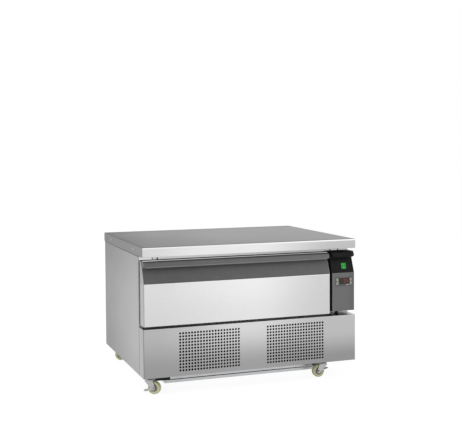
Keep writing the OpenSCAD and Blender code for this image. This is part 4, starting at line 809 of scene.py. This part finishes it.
def lip_bar(x0, x1, y0, z0, depth, slant_d, slant_h, proud, window=()):
    """A slanted finger recess under its lip, carried along X. Near each end the lip's lower edge
    rises as a quarter round: at a distance d from the end its height is
    12 - sqrt(144 - (12 - d)^2), and the point moves back to where the lip's front is that high."""
    front = np.array([(3 - proud, 0), (-proud, 3), (-proud, 9), (8, 22.8), (12, 24)]) + [0, slant_h]
    path = [(0, 0), (slant_d, slant_h), *front, (depth, slant_h + 24), (depth, 0)]
    outline = fillet(path, [0.3, 4.0, 1.4, 1.4, 3.0, 2.0, 2.0, 0.5, 0.3], 4, True)
    round_r = 12.0
    steps = round_r * (1 - np.cos(np.linspace(0, np.pi / 2, 9)))
    stations = np.sort(np.concatenate([x0 + steps, x1 - steps, window]))
    loops = []
    for x in stations:
        d = min(x - x0, x1 - x, round_r)
        rise = slant_h + round_r - math.sqrt(max(round_r ** 2 - (round_r - d) ** 2, 0))
        y, z = outline.T.copy()
        low = (z >= slant_h - 1.0) & (z < min(slant_h + 15, rise)) & (y < slant_d - 1)
        z[low] = rise
        y[low] = np.maximum(y[low], np.interp(rise, front[:, 1], front[:, 0]))
        loops.append(flat("x", np.c_[y + y0, z + z0], x))
    return np.stack(loops), stations


def drawer_pull():
    """The dark moulded pull between the end plates."""
    x0, x1 = DRAW_L + SHEET + 0.3, DRAW_R - SHEET - 0.3
    loops, _ = lip_bar(x0, x1, DRAW_F, DRAW_FACE + 0.3, DRAW_B - SHEET - DRAW_F, 30.0, 61.0, 1.0)
    piece("drawer_pull_moulding", [grid(loops, caps=True)], pull_plastic, ["drawer_pull"],
          bevel=0.4, angle=50, body=DRAWER)
    # A low polished flange behind the lip, leaning back a little, and a black strip behind it, which is
    # painted shade over the drawer's top
    y, low, high = DRAW_F + 22.0, DRAW_TOP - 0.6, DRAW_TOP + 2.9
    flange = [(y - 0.3, low), (y + 0.1, high), (y + 1.0, high), (y + 1.0, low)]
    piece("drawer_top_flange", [prism("x", flange, x0, x1)], bright_steel, body=DRAWER)
    strip = box((x0, y + 1.5, low), (x1, DRAW_B - 0.6, DRAW_TOP + 0.4))
    piece("painted_shade_top_strip", [strip], gasket_rubber_and_painted_shade, body=DRAWER)


def drawer_inside():
    """The gasket is a ring section of two bellows folds, swept round a rounded rectangle. The rest
    keeps its CAD shapes, with edges rounded where they show."""
    section = [(-0.5, 0), (-0.5, 1.2), (1.2, 2.4), (-0.6, 3.6), (-0.8, 5.6), (-2, 6), (-12, 6), (-13.2, 5.6),
               (-13.4, 3.6), (-15.2, 2.4), (-13.5, 1.2), (-13.5, 0)]
    edges = np.array(CAVITY) + [-3, 3, -3, 3]
    ring = stepped("y", edges, [(s, DRAW_B + d) for s, d in section], 3, 5, least=3, ring=True)
    piece("drawer_gasket_bellows", [ring], gasket_rubber_and_painted_shade, ["drawer_gasket"], body=DRAWER)
    refined("drawer_frame", inner_steel, 1.2, 3, DRAWER)
    refined("drawer_inner_panel", inner_steel, 0.3, body=DRAWER)
    finish_node(foam, "drawer_foam", "cabinet_foam")
    finish_node(inner_steel, "inner_liner", "cabinet_floor")
    refined("outer_runners", zinc, 0.35)
    refined("middle_runners", zinc, 0.3, body="middle_members")
    refined("inner_runners", zinc, 0.3, body=DRAWER)


# Control column

TILT = math.atan2(SLANT_D, SLANT_H)
SLANT_UP = np.array([0, math.sin(TILT), math.cos(TILT)])
SLANT_OUT = np.array([0, -math.cos(TILT), math.sin(TILT)])
SWITCH = np.array([COL_L + SWITCH_RIGHT, COL_WALL, COL_FACE]) + SWITCH_UP * SLANT_UP


def on_slant(part):
    """A part drawn with X across, Y up the slanted face and Z out of it, set on the switch's middle."""
    p, faces = part
    return SWITCH + p[:, :1] * [1, 0, 0] + p[:, 1:2] * SLANT_UP + p[:, 2:3] * SLANT_OUT, faces


def column():
    """The black housing: a block below and a lip bar above, with a pocket for the switch."""
    x0, x1, half, rear = COL_L, COL_R, 12.4, FACE_Y - 0.3
    low = prism("z", fillet([(x0, COL_WALL), (x1, COL_WALL), (x1, rear), (x0, rear)],
                            [1.0, 5.0, 0.5, 0.5], 5, True), COL_LOW, COL_FACE)
    loops, stations = lip_bar(x0, x1, COL_WALL, COL_FACE, rear - COL_WALL, SLANT_D, SLANT_H, 2.0,
                              (SWITCH[0] - half, SWITCH[0] + half))
    # Two points of the slanted side are added to every loop, at the pocket's lower and upper edge.
    # The face between them over the pocket gives way to four walls and a floor
    at = int(np.argmax(loops[0, :, 2] > COL_FACE + 3.0))
    marks = np.outer([SWITCH_UP - POCKET_H, SWITCH_UP + POCKET_H], SLANT_UP) + [0, COL_WALL, COL_FACE]
    marks = marks + stations[:, None, None] * [1, 0, 0]
    loops = np.concatenate([loops[:, :at], marks, loops[:, at:]], axis=1)
    points, faces = grid(loops, caps=True)
    k, s = loops.shape[1], int(np.argmin(np.abs(stations - (SWITCH[0] - half))))
    gone = [s * k + at, s * k + at + 1, (s + 1) * k + at + 1, (s + 1) * k + at]
    faces = [face for face in faces if sorted(face) != sorted(gone)]
    walls, wall_faces = grid(np.stack([points[gone], points[gone] - SLANT_OUT * 13.0]))
    line = [(-1.5, DECK_Z - 0.5), (0, DECK_Z + 2.5), (0, COL_LOW - 4), (-2, COL_LOW + 1)]
    foot = stepped("z", (375, 384, -321.5, -305.5), line, 1.0, 3)
    parts = [(points, faces), (walls, wall_faces + [[4, 5, 6, 7]]), low, foot]
    piece("control_housing_moulding", parts, black_plastic, ["control_housing"],
          bevel=0.9, segments=3, angle=40)
    # The fascia wraps round the right edge in a wider round
    outline = fillet([(x0 + 0.4, COL_WALL + 0.2), (x0 + 0.4, COL_F), (x1 - 0.2, COL_F),
                      (x1 - 0.2, COL_WALL + 0.2)], [0, 0.7, 1.6, 0], 5, True)
    piece("grey_fascia", [prism("z", outline, COL_LOW + 0.3, COL_FACE - 0.6)], fascia_grey,
          ["control_fascia"], bevel=0.35)


def seven_bars(digit, x, y, z):
    """A digit of bars with pointed ends, leaning to the right with height. Each bar has its two ends
    in widths and half heights of the digit."""
    width, height, thick, gap, lean, depth = 6.2, 14.5, 0.45, 0.35, 0.12, 0.5
    ends = {"a": (0, 2, 1, 2), "b": (1, 1, 1, 2), "c": (1, 0, 1, 1), "d": (0, 0, 1, 0),
            "e": (0, 0, 0, 1), "f": (0, 1, 0, 2), "g": (0, 1, 1, 1)}
    parts = []
    for bar in {"0": "abcdef", "4": "fgbc", "8": "abcdefg"}[digit]:
        p, q = np.reshape(ends[bar], (2, 2)) * [width, height / 2]
        d = unit(q - p)
        n, p, q, d = np.array([-d[1], d[0]]) * thick, p + d * gap, q - d * gap, d * thick
        outline = np.array([p, p + n + d, q + n - d, q, q - n - d, p - n + d])
        outline[:, 0] += outline[:, 1] * lean
        parts.append(prism("y", outline + [x, z], y, y + depth))
    return parts


def controller():
    """Bezel with window and key openings, glossy window, lit digits, trim and four keys."""
    front, x, z = COL_F - 1.5, WINDOW_X, BEZEL_Z
    # From the middle outwards: the window's side, a key opening's two sides and the bezel's, and
    # upwards a key opening's two edges, the window's and the bezel's
    us = x + np.array([-37.5, -35.45, -25.95, -24, 24, 25.95, 35.45, 37.5])
    vs = z + np.array([-18, -14.5, -13.85, -1.35, 1.35, 13.85, 14.5, 18])
    is_open = np.zeros((7, 7), bool)
    is_open[3, 1:6] = True
    is_open[np.ix_([1, 5], [2, 4])] = True
    rim = sheet_with_windows("y", us, vs, is_open, front, front + 3.4)
    backing = box((us[0] + 2.2, front + 3.2, vs[0] + 2.2), (us[-1] - 2.2, front + 46.0, vs[-1] - 2.2))
    piece("controller_bezel", [rim, backing], bezel_grey, ["controller_case"], bevel=0.35)
    block = lambda u0, u1, v0, v1, near, far, r=0.0: box(
        (x + u0, front + near, z + v0), (x + u1, front + far, z + v1), r, "y")
    piece("controller_pane", [block(-23.9, 23.9, -14.4, 14.4, 0.45, 3.0, 1.0)], window_gloss,
          ["controller_window"], bevel=0.2)
    # Two lit digits right of the middle and two unlit ones left of it, all of the same height
    lit, unlit = [sum((seven_bars(digit, x + u, front + 0.3, z - 5.0) for digit, u in pair), [])
                  for pair in ((("0", 1.0), ("4", 10.8)), (("8", -20.5), ("8", -10.5)))]
    piece("display_digits", lit, lit_red, also=[(unlit_bars, unlit)])
    # A pale bar on a grey sill along the window's foot, a pale strip left of the window, a dark one right
    piece("display_bar", [block(10, 23, -14.4, -11.6, -0.3, 0.2, 0.6)], pale_bar,
          also=[(bezel_grey, [block(-23.8, 23.8, -14.3, -11.4, -0.1, 0.6)]),
                (key_plastic, [block(-25.8, -24.0, -12.0, 13.0, -0.2, 0.3)]),
                (window_gloss, [block(23.8, 25.6, -12.0, 13.0, -0.2, 0.3)])])
    line = [(1.2, front - 0.4), (0.5, front - 0.3), (0, front + 0.2), (0, front + 5)]
    for side, word in ((-1, "left"), (1, "right")):
        for level, height in ((1, "upper"), (-1, "lower")):
            name, u, v = word + "_" + height, x + side * 30.7, z + level * 7.6
            cap = stepped("y", (u - 4.5, u + 4.5, v - 6, v + 6), line, 1.2, 4)
            piece("key_cap_" + name, [cap], key_plastic, ["key_" + name], body="key_%s_body" % name)


def switch():
    """A sloped rim on the slanted face, and the green rocker with its two plain marks."""
    section = [(0, -0.1), (0, 0.5), (0.9, 1.5), (2.2, 1.6), (2.7, 1.2), (2.7, -8.0), (1.7, -8.0), (1.7, -0.1)]
    rim = stepped("z", (-14, 14, -16, 16), section, 2.0, 4, least=0.3, ring=True)
    piece("switch_rim", [on_slant(rim)], black_plastic, ["switch_frame"])
    # The rocker's top is hollow: its height is low + hollow * (distance from its middle / reach)^2
    tilt, sunk, reach, low, hollow = 7.0, -3.0, 12.5, 4.2, 1.4
    rocked = lambda part: on_slant(turned(part, "x", tilt, shift=(0, 0, sunk)))
    rise = lambda v: low + hollow * (v / reach) ** 2
    y = np.linspace(-reach, reach, 15)
    foot = [(reach, 1.0), (3.5, -3.5), (-3.5, -3.5)]
    outline = np.vstack([[(-reach, 1.0)], np.c_[y, rise(y)], foot])
    piece("green_rocker", [rocked(prism("x", outline, -11.0, 11.0))], rocker_green,
          ["switch_rocker"], bevel=0.5, body="rocker")
    bar = box((-0.7, 5.2, rise(7) - 0.05), (0.7, 9.2, rise(7) + 0.16), 0.3)
    ring = lathe(fillet([(1.3, 0), (2.1, 0), (2.1, 0.2), (1.3, 0.2)], 0.05, 1, True),
                 (0, -7.0, rise(7)), "z", 24, ring=True)
    piece("rocker_marks", [rocked(bar), rocked(ring)], mark_white, body="rocker")


def casters():
    """Each caster is drawn on its swivel axis, wheel towards +X, then turned and set in place."""
    race = fillet([(5.2, 60.8), (14, 60.8), (18.5, 61.5), (20, 64.5), (19.2, 67), (16.5, 68.2),
                   (21, 69.6), (5.2, 69.6)], 0.8, 3, True)
    shank = [(0, 64.6), (2.6, 64.8), (3, 65.2), (3, 79.8), (0, 80.0)]
    # Fork: a dished crown, two tapering legs and the axle bolt
    crown = fillet([(0, 50.8), (15, 50.8), (18.6, 51.6), (19.4, 54.0), (18.2, 57.6), (14.0, 60.3),
                    (5, 60.5), (5, 71.6), (0, 71.6)], [0, 0.5, 1, 1, 1, 1, 0, 0.5, 0], 3)
    leg = fillet(hull(np.vstack([circle(TRAIL, AXLE_Z, 8.5, 28),
                                 [(-16, 52.6), (18, 52.6), (-16, 50.0), (18, 50.0)]])), 0.6, 2, True)
    slot = rect(TRAIL - 3.2, TRAIL + 3.2, AXLE_Z - 0.6, AXLE_Z + 0.6, 0.3, 2)
    # Wheel: hub, stepped disc and rim in one, under a crowned tread
    mirrored = lambda line: line + [(r, -h) for r, h in line[::-1] if h]
    core = fillet(mirrored([(3.05, 10.8), (6.6, 10.8), (7.4, 7.4), (14.6, 7.4), (15.6, 6.4), (16.8, 7.8),
                            (17.8, 9.5), (22.2, 9.5)]), 0.5, 2, True)
    tread = fillet(mirrored([(22.0, 9.3), (23.2, 9.2), (24.4, 8.2), (24.9, 5.0), (25.0, 0)]), 0.4, 2, True)
    disc = fillet([(7.6, 7.5), (14.2, 7.5), (14.2, 8.1), (7.6, 8.6)], 0.2, 2, True)
    # Brake pedal: an arm beside the fork, a bridge and a foot plate with three ribs
    z = AXLE_Z
    arm = fillet(hull(np.vstack([circle(TRAIL, z, 6.0, 24), circle(-15.0, z, 4.0, 12)])), 0.3, 1, True)
    bridge = folded([(-16.2, z - 1.0), (-11.0, z - 1.0), (-10.0, z - 2.6)], 2.2, 1.2)
    foot = folded([(-25.0, z - 0.2), (-22.5, z - 1.0), (-12.0, z - 1.0)], 2.4, 2.0)
    pedal = [prism("y", arm, -15.2, -13.7), prism("y", bridge, -15.2, 8.0), prism("y", foot, -8.0, 8.0)]
    pedal += [prism("y", rect(x - 0.5, x + 0.5, z + 1.2, z + 1.8, 0.2, 2), -6.5, 6.5)
              for x in (-21.0, -18.5, -16.0)]
    plates, bolts = [], []
    for place, (cx, cy, plate_turn, fork_turn) in CASTERS.items():
        on_plate = lambda part: turned(part, "z", plate_turn, shift=(cx, cy, 0))
        on_fork = lambda part: turned(part, "z", fork_turn, shift=(cx, cy, 0))
        hoop = lambda line, steps: on_fork(lathe(line, HUB, "y", steps, ring=True))
        fork_body, wheel_body = "fork_%s_body" % place, "wheel_%s_body" % place
        plates += [on_plate(box((-30, -30, 69.5), (30, 30, BASE_Z), 6.0, "z", 5)),
                   on_plate(lathe(race, (0, 0, 0), "z", 40, ring=True))]
        for u, v in ((-23.0, -23.0), (-23.0, 23.0), (23.0, -23.0), (23.0, 23.0)):
            bolts += [on_plate(prism("z", circle(u, v, 5.4, 6), lo, hi))
                      for lo, hi in ((65.6, 69.5), (FLOOR_Z, 77.4))]
            bolts.append(on_plate(lathe(shank, (u, v, 0), "z", 16)))
        end = 15.5 if place.startswith("front") else 13.4
        head = [(0, end + 2.8), (3.4, end + 2.8), (4.6, end + 2.2), (5.0, end + 1.0), (5.0, end), (0, end)]
        axle = [(0, -end - 0.5), (2.95, -end - 0.5), (2.95, end + 0.5), (0, end + 0.5)]
        parts = [lathe(crown, (0, 0, 0), "z", 40), box((-16, -13.4, 50.8), (18, 13.4, 53.3), 2.0),
                 lathe(axle, HUB, "y", 24)]
        for s in (-1, 1):
            parts += [prism("y", leg, s * 11.2, s * 13.4), lathe([(r, s * h) for r, h in head], HUB, "y", 24)]
        piece("caster_fork_" + place, [on_fork(part) for part in parts], zinc, ["fork_" + place],
              bevel=0.35, body=fork_body)
        # A thin dark patch on each leg's outer face stands for the axle slot: painted shade
        cuts = [on_fork(prism("y", slot, s * (end + 2.7), s * (end + 2.95))) for s in (-1, 1)]
        piece("painted_axle_slot_shade_" + place, cuts, painted_slot_shade, body=fork_body)
        piece("caster_wheel_" + place, [hoop(core, 64)], wheel_cream, ["wheel_" + place],
              body=wheel_body, also=[(tread_olive, [hoop(tread, 64)])])
        piece("wheel_cover_" + place, [hoop(disc * [1, s], 48) for s in (-1, 1)], wheel_disc,
              body=wheel_body)
        for word, lift in (("left", -17.0), ("right", 12.0)):
            if place == "front_" + word:
                parts = [on_fork(turned(part, "y", -lift, HUB)) for part in pedal]
                piece("caster_pedal_" + word, parts, zinc, ["brake_pedal_" + word], bevel=0.3,
                      body="pedal_%s_body" % word)
    piece("caster_plates_and_races", plates, zinc, ["caster_plates"], bevel=0.4)
    piece("caster_plate_bolts", bolts, zinc, ["caster_bolts"], bevel=0.3)


def machine():
    """The cooling machine behind the holes keeps its CAD shapes, with edges rounded where they show."""
    finish_node(enamel, "compressor_shell")
    refined("compressor_feet", enamel, 0.5)
    refined("compressor_terminal_box", motor_plastic, 1.5, 3)
    finish_node(coated_fins_and_painted_shade, "condenser_coil")
    finish_node(fins, "evaporator_coil")
    refined("evaporator_cover", fins, 0.3)
    refined("condenser_shroud", black_plastic, 0.6)
    fans = ("condenser_fan", "evaporator_fan")
    for fan in fans:
        refined(fan + "_motor", motor_plastic, 0.8)
    for fan in fans:
        refined(fan + "_blade", fan_plastic, 0.3, body=fan)
    finish_node(copper, "refrigerant_pipes", "filter_drier")
    refined("drain_pipe", drain_plastic, 0.3)


for build in (worktop, side_panels, back_sheet, front_frame, perforated_panel, under_parts, drawer_face,
              drawer_pull, drawer_inside, column, controller, switch, casters, machine):
    build()

# Studio


def camera():
    """The photograph's viewpoint, with its shift of the frame."""
    lens = bpy.data.cameras.new("photo_view")
    lens.sensor_width, lens.clip_end = 36.0, 60.0
    lens.lens = FOCAL_PX / PHOTO_W * lens.sensor_width
    lens.shift_x = (PHOTO_W / 2 - FACED_U) / PHOTO_W
    lens.shift_y = (FACED_V - PHOTO_H / 2) / PHOTO_W
    view = placed("photo_view", lens)
    view.matrix_world = Matrix.Translation(VIEW_PLACE)
    for axis, degrees in (("Z", YAW), ("X", 90.0 - PITCH), ("Z", ROLL)):
        view.matrix_world = view.matrix_world @ Matrix.Rotation(math.radians(degrees), 4, axis)
    bpy.context.scene.camera = view


def lamp(name, power, size, place):
    """A soft area lamp at a place, facing the unit's middle."""
    light = bpy.data.lights.new(name, "AREA")
    light.energy, light.size = power, size
    away = Vector(place) - Vector((0, 0, 0.3))
    facing = away.to_track_quat("Z", "Y").to_matrix().to_4x4()
    placed(name, light).matrix_world = Matrix.Translation(place) @ facing


def seen_rays(tree):
    """One for rays from the camera, off gloss and through glass, nothing for others."""
    rays = put(tree, "LightPath").outputs
    seen = math_of(tree, "MAXIMUM", rays["Is Camera Ray"], rays["Is Glossy Ray"])
    return math_of(tree, "MAXIMUM", seen, rays["Is Transmission Ray"])


def bare_tree(owner):
    """The emptied shader tree of a world or material."""
    owner.use_nodes = True
    owner.node_tree.nodes.clear()
    return owner.node_tree


def studio():
    """A pale floor that keeps a soft shadow, white all round, and two large soft lamps."""
    reach, below, floor_grey, floor_glow, glow_share = 30.0, -0.0005, 0.85, 1.16, 0.78
    light_seen, light_on_part = 1.0, 0.55
    world = bpy.context.scene.world = bpy.data.worlds.new("studio")
    tree = bare_tree(world)
    level = math_of(tree, "MULTIPLY_ADD", seen_rays(tree), light_seen - light_on_part, light_on_part)
    back = put(tree, "Background", {"Color": rgb(1.0), "Strength": level})
    put(tree, "OutputWorld", {0: back.outputs[0]})
    mesh = bpy.data.meshes.new("floor")
    square = flat("z", rect(-reach, reach, -reach, reach, 0, 1), below)
    mesh.from_pydata(square.tolist(), [], [[0, 1, 2, 3]])
    paint = bpy.data.materials.new("floor_paint")
    tree = bare_tree(paint)
    matt = put(tree, "BsdfDiffuse", {"Color": rgb(floor_grey)})
    glow = put(tree, "Emission", {"Color": rgb(1.0), "Strength": floor_glow})
    share = math_of(tree, "MULTIPLY", seen_rays(tree), glow_share)
    both = put(tree, "MixShader", {0: share, 1: matt.outputs[0], 2: glow.outputs[0]})
    put(tree, "OutputMaterial", {0: both.outputs[0]})
    mesh.materials.append(paint)
    placed("studio_floor", mesh)
    lamp("key", 58.0, 4.4, (-2.6, -2.2, 3.4))
    lamp("fill", 24.0, 4.2, (3.2, -2.6, 2.6))
    bpy.context.scene.view_settings.view_transform = "Standard"


camera()
studio()
